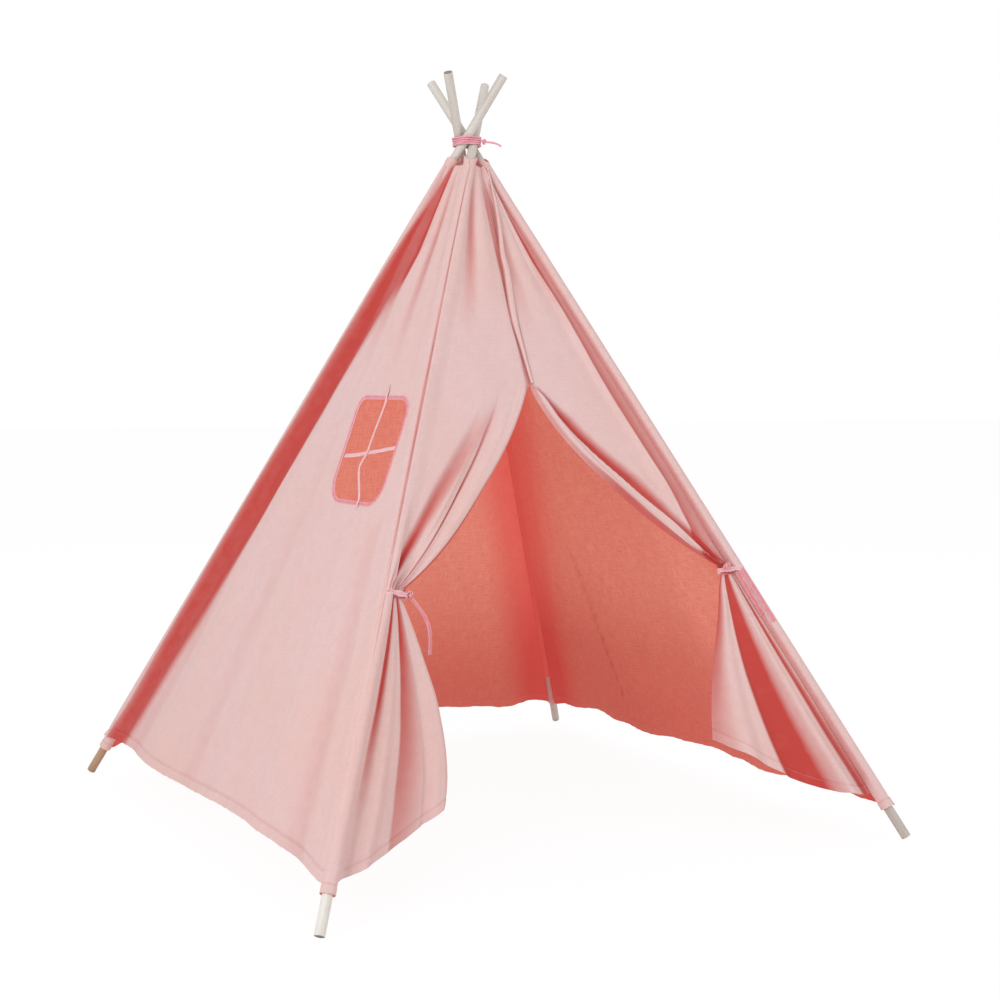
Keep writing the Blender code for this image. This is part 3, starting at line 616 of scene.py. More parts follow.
@dataclass(frozen=True)
class WoodFinish:
    """Whitewashed pine: pale, with grain that shows through faintly, and raw sawn ends with rings, darker as
    raw end grain and darker still with painted shade.
    """

    name: str
    wash: Colour
    streak: Colour
    sawn: Colour
    ring: Colour

    def make(self, groups: Groups) -> Material:
        """Build the material.

        Args:
            groups: The shared node groups.

        Returns:
            The material.
        """
        bench, shader, material = new_material(self.name)
        place = bench.node("ShaderNodeAttribute", attribute_name="stick").outputs["Vector"]
        grain = bench.place(groups.grain, Place=place)
        mottle = bench.place(groups.mottle, Place=bench.scaled(place, 1.0, 1.0, 0.25), Scale=30.0)[0]
        streaks = bench.times(grain["Streak"], bench.plus(mottle, 0.35))
        side = bench.blend(bench.times(streaks, 0.75, clamp=True), self.wash, self.streak)
        side = bench.blend(bench.times(grain["Pore"], 0.35), side, self.sawn)
        inputs = {"Vector": place, "Scale": 160.0, "Distortion": 2.5}
        rings = bench.node("ShaderNodeTexWave", inputs, wave_type="RINGS", rings_direction="Z")
        # Sawn ends: raw end grain, its colours darkened with painted shade.
        end = bench.blend(rings.outputs["Fac"], self.sawn, self.ring)
        bench.feed(shader, {
            "Base Color": bench.blend(bench.attribute("sawn_end"), side, end),
            "Roughness": bench.plus(bench.times(streaks, 0.2), 0.5),
            "Normal": bench.bump(grain["Streak"], 0.0002, 0.5),
        })
        return material


class Wood(Enum):
    """Which wood a section is: the name of its material. Besides the whitewashed pine there are copies of it
    with painted light, half-shade and shade, for single feet.
    """

    WASHED = "whitewashed_pine"
    # Paler copy: painted light.
    CLEAN = "pine_painted_light"
    # Slightly greyer copy: painted half-shade.
    DUSTY = "pine_painted_half_shade"
    # Browner, darker copy: painted shade.
    WORN = "pine_painted_shade"


@dataclass(frozen=True)
class MetalFinish:
    """Drawn aluminium tube with faint lengthwise scratches."""

    name: str
    bright: Colour
    dull: Colour

    def make(self, groups: Groups) -> Material:
        """Build the material.

        Args:
            groups: The shared node groups.

        Returns:
            The material.
        """
        bench, shader, material = new_material(self.name)
        coords = bench.own_place()
        scratch = bench.noise(bench.scaled(coords, 900.0, 900.0, 60.0), 2.0)
        mottle = bench.place(groups.mottle, Place=coords, Scale=60.0)[0]
        bench.feed(shader, {
            "Base Color": bench.blend(mottle, self.bright, self.dull), "Metallic": 1.0,
            "Roughness": bench.plus(bench.times(scratch, 0.3), 0.2),
            "Normal": bench.bump(scratch, 0.0001, 0.4),
        })
        return material


@dataclass
class Finishes:
    """Every material of the object, made once."""

    groups: Groups = field(default_factory=Groups)

    def __post_init__(self) -> None:
        """Make the materials."""
        # Outer cotton: its open colour, and coral as painted shade in folds and beside the channels.
        self.outside = CottonFinish(
            "cotton_outside", colour(230, 200, 199), colour(232, 195, 189), colour(196, 72, 66), "valley",
            colour(216, 174, 170), 0.42,
        ).make(self.groups)
        # Inner cotton: a deeper coral copy of the same cloth as painted shade, with emission as painted light.
        self.inside = CottonFinish(
            "cotton_inside", colour(208, 121, 110), colour(211, 128, 116), colour(214, 97, 90), "corner",
            colour(224, 172, 150), 0.85, glow=0.42,
        ).make(self.groups)
        # Each ribbon's second colour is its painted shade.
        ribbons = {
            "ribbon": ((242, 190, 194), (220, 116, 130)),
            "pale_ribbon": ((246, 222, 224), (232, 170, 178)),
            "lash_cord": ((246, 176, 188), (220, 112, 132)),
        }
        self.ribbon, self.pale_ribbon, self.cord = (
            RibbonFinish(name, *(colour(*shown) for shown in shades)).make(self.groups)
            for name, shades in ribbons.items()
        )
        # Copies of the one pine, with painted light and painted shade for single feet.
        woods = {
            Wood.WASHED: ((212, 206, 200), (190, 178, 165), (148, 134, 122), (118, 104, 94)),
            Wood.CLEAN: ((232, 228, 222), (214, 205, 194), (160, 148, 136), (126, 112, 100)),
            Wood.DUSTY: ((200, 193, 187), (178, 167, 156), (140, 126, 116), (110, 98, 88)),
            Wood.WORN: ((186, 155, 126), (158, 122, 92), (136, 102, 74), (102, 78, 58)),
        }
        self.woods = {
            wood: WoodFinish(wood.value, *(colour(*shown) for shown in shades)).make(self.groups)
            for wood, shades in woods.items()
        }
        metal = MetalFinish("ferrule_metal", colour(205, 205, 208), colour(172, 174, 180))
        self.metal = metal.make(self.groups)


# Modelling helpers


def take(obj: Piece) -> None:
    """Select one object alone and make it active.

    Args:
        obj: The object.
    """
    bpy.ops.object.select_all(action="DESELECT")
    obj.select_set(True)
    bpy.context.view_layer.objects.active = obj


def pick_faces(obj: Piece, chosen: list[bool]) -> None:
    """Go into edit mode with only the chosen faces selected.

    Args:
        obj: The piece.
        chosen: Whether each of its faces is chosen.
    """
    take(obj)
    bpy.ops.object.mode_set(mode="EDIT")
    bpy.ops.mesh.select_mode(type="FACE")
    bpy.ops.mesh.select_all(action="DESELECT")
    bpy.ops.object.mode_set(mode="OBJECT")
    obj.data.polygons.foreach_set("select", np.asarray(chosen, bool))
    bpy.ops.object.mode_set(mode="EDIT")


def read_all(parts: object, name: str, width: int, kind: type = float) -> Array:
    """Read one property of all points, edges, faces or corners of a mesh.

    Args:
        parts: The mesh's collection of them.
        name: The property.
        width: How many numbers it has for each.
        kind: What the numbers are.

    Returns:
        The numbers, one row for each.
    """
    values = np.zeros(len(parts) * width, kind)
    parts.foreach_get(name, values)
    return values.reshape(-1, width)


def put_points(mesh: bpy.types.Mesh, points: Array) -> None:
    """Move a mesh's points."""
    mesh.vertices.foreach_set("co", points.ravel())
    mesh.update()


def put_numbers(obj: Piece, name: str, values: Array) -> None:
    """Store one number for each point of a piece."""
    made = obj.data.attributes.new(name, "FLOAT", "POINT")
    made.data.foreach_set("value", np.ascontiguousarray(values, np.float32).ravel())


def apply_all(obj: Piece) -> None:
    """Apply every modifier of a piece, in order.

    Args:
        obj: The piece.
    """
    take(obj)
    for modifier in list(obj.modifiers):
        bpy.ops.object.modifier_apply(modifier=modifier.name)


def hand_over(
    obj: Piece, body: str, slot: str, *nodes: str, folds: bool = False, angle: float = 50.0
) -> None:
    """Finish a piece, let it ride its body and stand for its CAD nodes.

    Args:
        obj: The piece.
        body: The CAD body that it moves with.
        slot: The record's material slot; not used.
        nodes: CAD nodes that it stands for.
        folds: Whether it gets its own copy of its mesh.
        angle: Edges sharper than this, in degrees, stay sharp.
    """
    apply_all(obj)
    bpy.ops.object.shade_smooth_by_angle(angle=math.radians(angle))
    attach(obj, body)
    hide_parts(*nodes)
    if folds:
        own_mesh(obj)
    LOG.info("%s rides %s and stands for %s", obj.name, body, ", ".join(nodes))


@dataclass
class Cloth:
    """A rectangle of cloth points, row by row, with what each point knows.

    Args:
        points: Places, rows by columns by 3.
        valley: Painted shade on the outer side: how deep in a fold each point lies, 0 to 1.
        corner: Painted shade on the inner side, the same way.
        deep: Painted shade that darkens the inner side, for how far from the daylight each point lies, 0 to 1.
        hem_off: Distance of each point from the nearest hem.
        hem_run: Distance along that hem.
        closed: Whether the last column joins the first.
    """

    points: Array
    valley: Array
    corner: Array | float = 0.0
    deep: Array | float = 0.0
    hem_off: Array | float = 1.0
    hem_run: Array | float = 0.0
    closed: bool = False

    def metres(self) -> Array:
        """Work out each point's place on the flat cloth.

        Returns:
            Distance across the rows from the middle and down the columns, rows by columns by 2.
        """
        across = np.linalg.norm(np.diff(self.points, axis=1), axis=2)
        across = np.concatenate([np.zeros((len(across), 1)), np.cumsum(across, axis=1)], axis=1)
        across -= across[:, [across.shape[1] // 2]]
        down = np.linalg.norm(np.diff(self.points, axis=0), axis=2)
        down = np.concatenate([np.zeros((1, down.shape[1])), np.cumsum(down, axis=0)], axis=0)
        down = np.broadcast_to(down.mean(axis=1, keepdims=True), across.shape)
        return np.stack([across, down], axis=2)

    def grid(self, name: str) -> Piece:
        """Move the points of a grid primitive to the cloth's, and store what they know on it.

        Args:
            name: The piece's name.

        Returns:
            The piece, an open sheet.
        """
        rows, columns = self.points.shape[:2]
        bpy.ops.object.select_all(action="DESELECT")
        bpy.ops.mesh.primitive_grid_add(x_subdivisions=columns - 1, y_subdivisions=rows - 1, size=1.0)
        obj = bpy.context.active_object
        obj.name = obj.data.name = name
        mesh = obj.data
        place = read_all(mesh.vertices, "co", 3)
        column = np.rint((place[:, 0] + 0.5) * (columns - 1)).astype(int)
        row = np.rint((place[:, 1] + 0.5) * (rows - 1)).astype(int)
        # valley, corner and deep carry painted shade to the finishes.
        for label in ("valley", "corner", "deep", "hem_off", "hem_run"):
            known = np.broadcast_to(getattr(self, label), (rows, columns))
            put_numbers(obj, label, known[row, column])
        point = read_all(mesh.loops, "vertex_index", 1, np.int32)[:, 0]
        mesh.uv_layers[0].name = "cloth"
        flat = self.metres()[row, column][point].astype(np.float32)
        mesh.uv_layers[0].uv.foreach_set("vector", flat.ravel())
        put_points(mesh, self.points[row, column])
        return obj

    def sew(self, name: str, thickness: float, materials: tuple, outward: tuple | Array | None) -> Piece:
        """Make the cloth a thin closed piece.

        Args:
            name: The piece's name.
            thickness: Its thickness, half to either side of the points.
            materials: Finish of the outer side, and of the inner side where it differs.
            outward: Direction that the outer side faces, or None where the rows already run that way.

        Returns:
            The piece, with its thickness still to be applied.
        """
        obj = self.grid(name)
        mesh = obj.data
        if outward is not None:
            facing = read_all(mesh.polygons, "normal", 3) @ np.array(outward, float)
            if facing.sum() < 0:
                mesh.flip_normals()
        for material in materials:
            mesh.materials.append(material)
        if self.closed:
            weld = obj.modifiers.new("Weld", "WELD")
            weld.merge_threshold = 0.00005
            apply_all(obj)
        solid = obj.modifiers.new("Thickness", "SOLIDIFY")
        solid.thickness = thickness
        solid.offset = 0.0
        solid.use_quality_normals = True
        solid.material_offset = len(materials) - 1
        return obj


def swept(name: str, path: Array, ring: Array, ups: Array, closed: bool, material: Material) -> Piece:
    """Make a solid swept along a path.

    Args:
        name: The piece's name.
        path: Points of the centre line, n by 3.
        ring: The section's points for each path point, n by k by 2, across and up.
        ups: Direction of the section's up for each path point.
        closed: Whether the path's end meets its start.
        material: Its finish.

    Returns:
        The piece, with its place along and around stored as cloth metres, and its painted shade.
    """
    ahead = np.roll(path, -1, axis=0) - np.roll(path, 1, axis=0)
    if not closed:
        ahead[0], ahead[-1] = path[1] - path[0], path[-1] - path[-2]
    ahead = unit(ahead)
    across = unit(np.cross(ups, ahead))
    up = np.cross(ahead, across)
    points = path[:, None] + across[:, None] * ring[..., :1] + up[:, None] * ring[..., 1:]
    reach = np.linalg.norm(ring, axis=2)
    # Painted shade where the outline comes nearest the middle: across the flat of a ribbon and between a
    # cord's strands; ribbon edges stay pale as painted highlights.
    shade = 1 - (reach / reach.max(axis=1, keepdims=True)) ** 2
    if closed:
        points, shade = np.concatenate([points, points[:1]]), np.concatenate([shade, shade[:1]])
    points, shade = (np.concatenate([known, known[:, :1]], axis=1) for known in (points, shade))
    obj = Cloth(points, shade).grid(name)
    take(obj)
    bpy.ops.object.mode_set(mode="EDIT")
    bpy.ops.mesh.select_mode(type="VERT")
    bpy.ops.mesh.select_all(action="SELECT")
    bpy.ops.mesh.remove_doubles(threshold=0.00002)
    if not closed:
        bpy.ops.mesh.select_all(action="DESELECT")
        bpy.ops.mesh.select_non_manifold(extend=False)
        bpy.ops.mesh.edge_face_add()
        bpy.ops.mesh.select_all(action="SELECT")
    bpy.ops.mesh.normals_make_consistent(inside=False)
    bpy.ops.object.mode_set(mode="OBJECT")
    obj.data.materials.append(material)
    return obj


def round_ring(radius: float, twist: Array) -> Array:
    """Sections of a cord of three twisted strands.

    Args:
        radius: Radius over the strands.
        twist: How far the strands have turned at each section.

    Returns:
        The sections, n by k by 2.
    """
    angle = np.linspace(0, 2 * math.pi, CORD_SIDES, endpoint=False)
    bulge = radius * (0.93 + 0.07 * np.cos(CORD_STRANDS * (angle[None] - twist[:, None])))
    return np.stack([bulge * np.cos(angle), bulge * np.sin(angle)], axis=2)


def flat_ring(widths: Array, thickness: float, sides: int = 12) -> Array:
    """Sections of a flat ribbon with rounded edges.

    Args:
        widths: The ribbon's width at each section.
        thickness: Its thickness.
        sides: Points of each section.

    Returns:
        The sections, n by k by 2.
    """
    angle = np.linspace(0, 2 * math.pi, sides, endpoint=False) + math.pi / sides
    across = np.sign(np.cos(angle)) * np.abs(np.cos(angle)) ** 0.45
    up = np.sign(np.sin(angle)) * np.abs(np.sin(angle)) ** 0.7
    wide = widths[:, None] / 2 * across[None]
    return np.stack([wide, np.broadcast_to(thickness / 2 * up, wide.shape)], axis=2)


def through(points: Array | tuple, steps: int) -> Array:
    """Draw a smooth curve through given points, by Catmull-Rom blending.

    Args:
        points: The chosen points.
        steps: Points of the curve for each stretch between two of them.

    Returns:
        The curve's points.
    """
    points = np.asarray(points, float)
    ends = np.concatenate([[2 * points[0] - points[1]], points, [2 * points[-1] - points[-2]]])
    share = (np.arange(steps) / steps)[:, None]
    route = []
    for before, start, end, after in zip(ends, ends[1:], ends[2:], ends[3:]):
        first = (end - before) * (share / 2)
        second = (before * 2 - start * 5 + end * 4 - after) * (share * share / 2)
        third = (start * 3 - before - end * 3 + after) * (share**3 / 2)
        route.append(start + first + second + third)
    return np.concatenate([*route, points[-1:]])


def wrapped(discs: list[Disc], angle: float) -> tuple[float, float]:
    """Find the point of the taut line round flat discs whose outward direction is the angle.

    Args:
        discs: The discs, each as the two places of its middle and its radius.
        angle: The direction.

    Returns:
        The point.
    """
    cos, sin = math.cos(angle), math.sin(angle)
    x, y, radius = max(discs, key=lambda disc: disc[0] * cos + disc[1] * sin + disc[2])
    return x + radius * cos, y + radius * sin


@dataclass(frozen=True)
class Ripples:
    """Shallow waves that handling leaves in cloth: a few crossing swells, the same on each run.

    Args:
        seed: Which waves they are.
        count: How many swells cross.
        length: Their middling length.
        rise: Their middling height.
    """

    seed: int
    count: int
    length: float
    rise: float

    def at(self, across: Array, down: Array | float = 0.0) -> Array:
        """Height of the ripples at places on the cloth.

        Args:
            across: Distance across the cloth.
            down: Distance down the cloth.

        Returns:
            The height at each place.
        """
        random = np.random.default_rng(self.seed)
        total = np.zeros(np.broadcast(across, down).shape)
        for _ in range(self.count):
            turn = random.uniform(-0.9, 0.9)
            stretch = self.length * random.uniform(0.6, 1.7)
            phase = random.uniform(0, 2 * math.pi)
            total += np.sin((across * math.cos(turn) + down * math.sin(turn)) * 2 * math.pi / stretch + phase)
        return total * self.rise / math.sqrt(self.count)


@dataclass(frozen=True)
class Crease:
    """A straight pressed-in or raised line in a wall.

    Args:
        start: Its upper end: distance along the wall from the middle, and height.
        end: Its lower end.
        width: Half the width that it fades out over.
        rise: How far it stands out, negative for a groove.
        tint: How much painted shade it puts on the inner side along its middle; a negative tint takes painted
            shade away.
    """

    start: tuple[float, float]
    end: tuple[float, float]
    width: float
    rise: float
    tint: float = 0.0

    def at(self, across: Array, height: Array) -> Array:
        """Strength of the crease at places of the wall.

        Args:
            across: Distance along the wall from its middle.
            height: Height above the floor.

        Returns:
            The strength, 0 to 1.
        """
        start, end = np.array(self.start), np.array(self.end)
        run = end - start
        share = ((across - start[0]) * run[0] + (height - start[1]) * run[1]) / (run @ run)
        off = ((across - start[0]) * run[1] - (height - start[1]) * run[0]) / np.linalg.norm(run)
        return ramp(share, -0.02, 0.18) * (1 - ramp(share, 0.78, 1.02)) * bell(off, 0, self.width)


class EdgeForm(Enum):
    """How a wall's cloth meets a pole.

    It is laid over it, drawn round it to the corner seam as a door half or as a wall, sewn close beside it,
    or meets it in a valley or in a crest.
    """

    OVER = "over"
    SEAM = "seam"
    WELT = "welt"
    SEWN = "sewn"
    VALLEY = "valley"
    CREST = "crest"

    @property
    def start(self) -> float:
        """How far from the pole's axis the cloth starts."""
        starts = {"seam": -0.0056, "welt": -0.0102, "sewn": SEW_RADIUS, "crest": SEW_RADIUS}
        return starts.get(self.value, 0.0)

    def beside(self, distance: Array, height: Array, width: Array) -> tuple[Array, Array]:
        """The cloth beside a pole.

        Args:
            distance: Distance from the pole's axis.
            height: Height above the floor.
            width: The wall's width at that height.

        Returns:
            How far the cloth stands off the wall's level, and how much painted shade it takes, 0 to 1.
        """
        size = np.clip(width / 0.22, 0.15, 1.0)
        away = (distance - self.start) / size
        crown = SLEEVE_RADIUS + 0.0022 - WALL_LEVEL
        if self is EdgeForm.OVER:
            return crown * (1 - ramp(away, 0.006, 0.055)), 0 * away
        if self in (EdgeForm.SEAM, EdgeForm.WELT):
            seam = 1 - ramp(away * size, 0.0, 0.0014)
            laid = np.sqrt(CHANNEL_SKIN**2 - np.minimum(distance, 0.003) ** 2) - WALL_LEVEL
            rise = laid * (1 - ramp(distance, 0.003, 0.034 * size)) - 0.0006 * seam
            # Painted shade: a dark line along the seam.
            return rise, seam * (0.1 + 0.6 * hump(height, 0.34, 0.75, 1.5))
        if self is EdgeForm.VALLEY:
            heights = (0.08, 0.17, 0.31, 0.64, 0.78, 1.05, 1.20)
            start = np.interp(height, heights, (0.008, 0.014, 0.008, 0.003, 0.007, 0.003, 0.011))
            # Painted shade: a coral band from the channel down into the valley.
            tint = 0.7 * ramp(distance, start, start + 0.009)
            tint += 0.3 * ramp(away, start + 0.003, start + 0.023)
            tint *= (1 - ramp(away, 0.078, 0.132)) * (0.96 - 0.10 * ramp(height, 0.85, 1.15))
            sunk = 0.012 * size * hump(away, 0.008, 0.058, 0.130)
            return crown * (1 - ramp(away, 0.010, 0.040)) - sunk, tint
        sewn = SEW_DIP + WALL_LEVEL
        if self is EdgeForm.SEWN:
            # Painted shade beside the sewn edge.
            return -sewn * (1 - ramp(away, 0.0, 0.034)), 0.55 * (1 - ramp(away, 0.0, 0.014))
        crest = 0.026 + 0.013 * ramp(height, 1.05, 0.80)
        # Painted shade between the crest and the channel.
        tint = (1 - ramp(away, crest - 0.0045, crest - 0.0008)) * (0.50 + 0.36 * ramp(away, 0.006, crest))
        rise = 0.0035 * bell(away, crest, 0.0045) - 0.6 * sewn * (1 - ramp(away, -0.004, crest - 0.002))
        return rise - 0.0030 * hump(away, crest + 0.004, crest + 0.012, crest + 0.045), tint


def hem_marks(above_hem: Array) -> tuple[Array, Array]:
    """The turned-up strip along a hem, and the stitched groove above it.

    Args:
        above_hem: Distance of each point from the hem.

    Returns:
        How far each point lies in the strip, and in the groove, 0 to 1.
    """
    return 1 - ramp(above_hem, HEM_LINE - HEM_TURN, HEM_LINE), bell(above_hem, HEM_LINE, HEM_GROOVE)


def top_gather(height: Array, low: float, peak: float, wave: Array) -> tuple[Array, Array, Array]:
    """The gathers that run down from the cover's top.

    Args:
        height: Height above the floor.
        low: Height at which they have faded out.
        peak: Height at which they are deepest.
        wave: How many gathers each point is away from the first.

    Returns:
        Where the gathers show, 0 to 1, their wave, -1 to 1, and how deep in one each point lies, for painted
        shade.
    """
    shown = hump(height, low, peak, 1.34)
    gather = np.sin(2 * math.pi * wave)
    return shown, gather, np.clip(-gather, 0, 1)


@dataclass
class WallCloth:
    """A whole wall of the cover, from its top edge to its hem.

    Args:
        name: The piece's name.
        node: The CAD node that it stands for.
        plane: The wall's plane.
        forms: How it meets the first and the second pole.
        hem: Height of its hem.
        pleats: Soft pleats as (centre share, half-width share, depth share).
        seed: Seed of its ripples.
        creases: Lines pressed into it.
        hem_line: Heights of the hem at shares of the wall's width, where it isn't level.
        pucker: Height of the hem's puckers.
        inner_shade: Painted shade over its whole inner side, for how far it lies from the daylight.
        middle_columns: Columns of points between the closer ones beside the poles.
        hem_depth: Height of the part with the closer rows.
    """

    name: str
    node: str
    plane: WallPlane
    forms: tuple[EdgeForm, EdgeForm]
    hem: float
    pleats: tuple[tuple[float, float, float], ...]
    seed: int
    creases: tuple[Crease, ...] = ()
    hem_line: tuple[tuple[float, float], ...] = ()
    pucker: float = 0.0016
    inner_shade: float = 0.0
    middle_columns: int = 84
    edge_columns: int = 30
    rows: int = 112
    hem_rows: int = 18
    hem_depth: float = 0.045

    def columns(self, width: Array) -> Array:
        """Space the columns, closer beside the poles.

        Args:
            width: The wall's width at each row.

        Returns:
            Distance of each column from the first pole's axis, row by row.
        """
        first, second = (form.start for form in self.forms)
        zone = np.minimum(0.165, 0.36 * width)
        share = (np.arange(self.edge_columns) / self.edge_columns)[None] ** 1.15
        left = first + share * (zone - first)
        right = width - (second + share[:, ::-1] * (zone - second))
        middle = zone + np.linspace(0, 1, self.middle_columns + 1)[None] * (width - 2 * zone)
        return np.concatenate([left, middle, right], axis=1)

    def lay(self) -> Cloth:
        """Lay the cloth's points.

        Returns:
            The cloth.
        """
        hem_share = 1 + np.arange(self.hem_rows + 1) / self.hem_rows
        down = np.concatenate([np.linspace(0, 1, self.rows, endpoint=False), hem_share])[:, None]
        straight = COVER_TOP - self.hem - self.hem_depth
        below = np.where(down < 1, down * straight, straight + (down - 1) * self.hem_depth)
        height = COVER_TOP - below
        width = self.plane.span(height)[2]
        distance = self.columns(width)
        known = (height, width, straight + self.hem_depth - below)
        height, width, above_hem = (np.broadcast_to(each, distance.shape) for each in known)
        run = distance - width / 2
        if self.hem_line:
            lift = np.interp(distance / width, *np.transpose(self.hem_line)) - self.hem
        else:
            lift = Ripples(self.seed + 5, 4, 0.19, 0.0022).at(run) * bow(distance / width) ** 0.5
        gather = Ripples(self.seed + 9, 5, 0.026, 1.0).at(run)
        lift = lift + 0.45 * self.pucker * gather
        height = height + lift * ramp(COVER_TOP - height, 0.6 * straight, straight + self.hem_depth)
        depth, valley, corner = self.form(distance, height, width)
        turned, groove = hem_marks(above_hem)
        depth = depth + 0.0009 * turned - 0.0010 * groove + self.pucker * gather * np.exp(-above_hem / 0.022)
        # Painted shade inside: the wall's own share, and darker towards the floor.
        deep = np.clip(self.inner_shade + 0.8 * ramp(height, 0.5, 0.05), 0, 1)
        points = self.plane.lay(distance, height, depth)
        # Painted shade in the hem's stitched groove.
        return Cloth(points, np.clip(valley + 0.10 * groove, 0, 1), corner, deep, above_hem, run)

    def form(self, distance: Array, height: Array, width: Array) -> tuple[Array, Array, Array]:
        """Form the cloth between its poles.

        Args:
            distance: Distance of each point from the first pole's axis.
            height: Its height.
            width: The wall's width there.

        Returns:
            How far each point stands out, and its painted shade outside and inside, for how deep in a fold and
            in a corner it lies.
        """
        depth = np.full(distance.shape, WALL_LEVEL)
        valley = np.zeros(distance.shape)
        for form, away in zip(self.forms, (distance, width - distance)):
            rise, tint = form.beside(away, height, width)
            depth += rise
            valley = np.maximum(valley, tint)
        share, across = distance / width, distance - width / 2
        calm = self.calm(across, height)
        reach = ease((COVER_TOP - height) / COVER_TOP) * calm
        for centre, half, amount in self.pleats:
            swell = np.cos(np.clip(np.abs(share - centre) / half, 0, 1) * math.pi / 2) ** 2
            depth += PLEAT_DEPTH * amount * reach * swell
            # Painted shade in the hollow of each sunk pleat.
            valley += max(-amount, 0) * 0.22 * reach * swell
        shown, gather, sunk = top_gather(height, 0.86, 1.16, share * 3.5 + 0.13 * self.seed)
        depth += 0.0042 * shown * gather * bow(share)
        # Painted shade in the hollows of the top gathers.
        valley += GATHER_SHADE * shown * sunk**1.6 * bow(share)
        lively = calm * bow(share) ** 0.5
        depth += Ripples(self.seed, 7, 0.23, 0.0016).at(across, height) * lively
        depth += Ripples(self.seed + 1, 6, 0.075, 0.0004).at(across, height * 0.6) * lively
        # Painted shade inside along each crease.
        crease_shade = 0.0
        for crease in self.creases:
            strength = crease.at(across, height)
            depth += crease.rise * strength
            crease_shade = crease_shade + crease.tint * strength
        edge = np.minimum(distance, width - distance) / np.clip(width / 0.5, 0.2, 1)
        # Painted shade inside: darker towards the poles, towards the floor and along the creases.
        corner = 0.85 * (1 - ramp(edge, 0.0, 0.15)) + 0.4 * ramp(height, 0.45, 0.05) + crease_shade
        return depth, np.clip(valley, 0, 1), np.clip(corner, 0, 1)

    def calm(self, across: Array, height: Array) -> Array | float:
        """How lively the cloth is at places of the wall: 1 everywhere on a plain one."""
        return 1.0

    def open_up(self, obj: Piece) -> None:
        """Cut what is open in the wall: nothing in a plain one."""

    def build(self, finishes: Finishes) -> None:
        """Build the wall, and say how it is held.

        Args:
            finishes: The materials.
        """
        outward = self.plane.outward
        obj = self.lay().sew(self.name, CLOTH_THICKNESS, (finishes.outside, finishes.inside), outward)
        self.open_up(obj)
        slot = "cotton_outside" if self.plane is LEFT_PLANE else "cotton_far_walls"
        hand_over(obj, "cover", slot, self.node, folds=True)
        half_base, lean = BASE_HALF_WIDTH, BASE_HALF_DEPTH
        if outward[0]:
            half_base, lean = lean, half_base


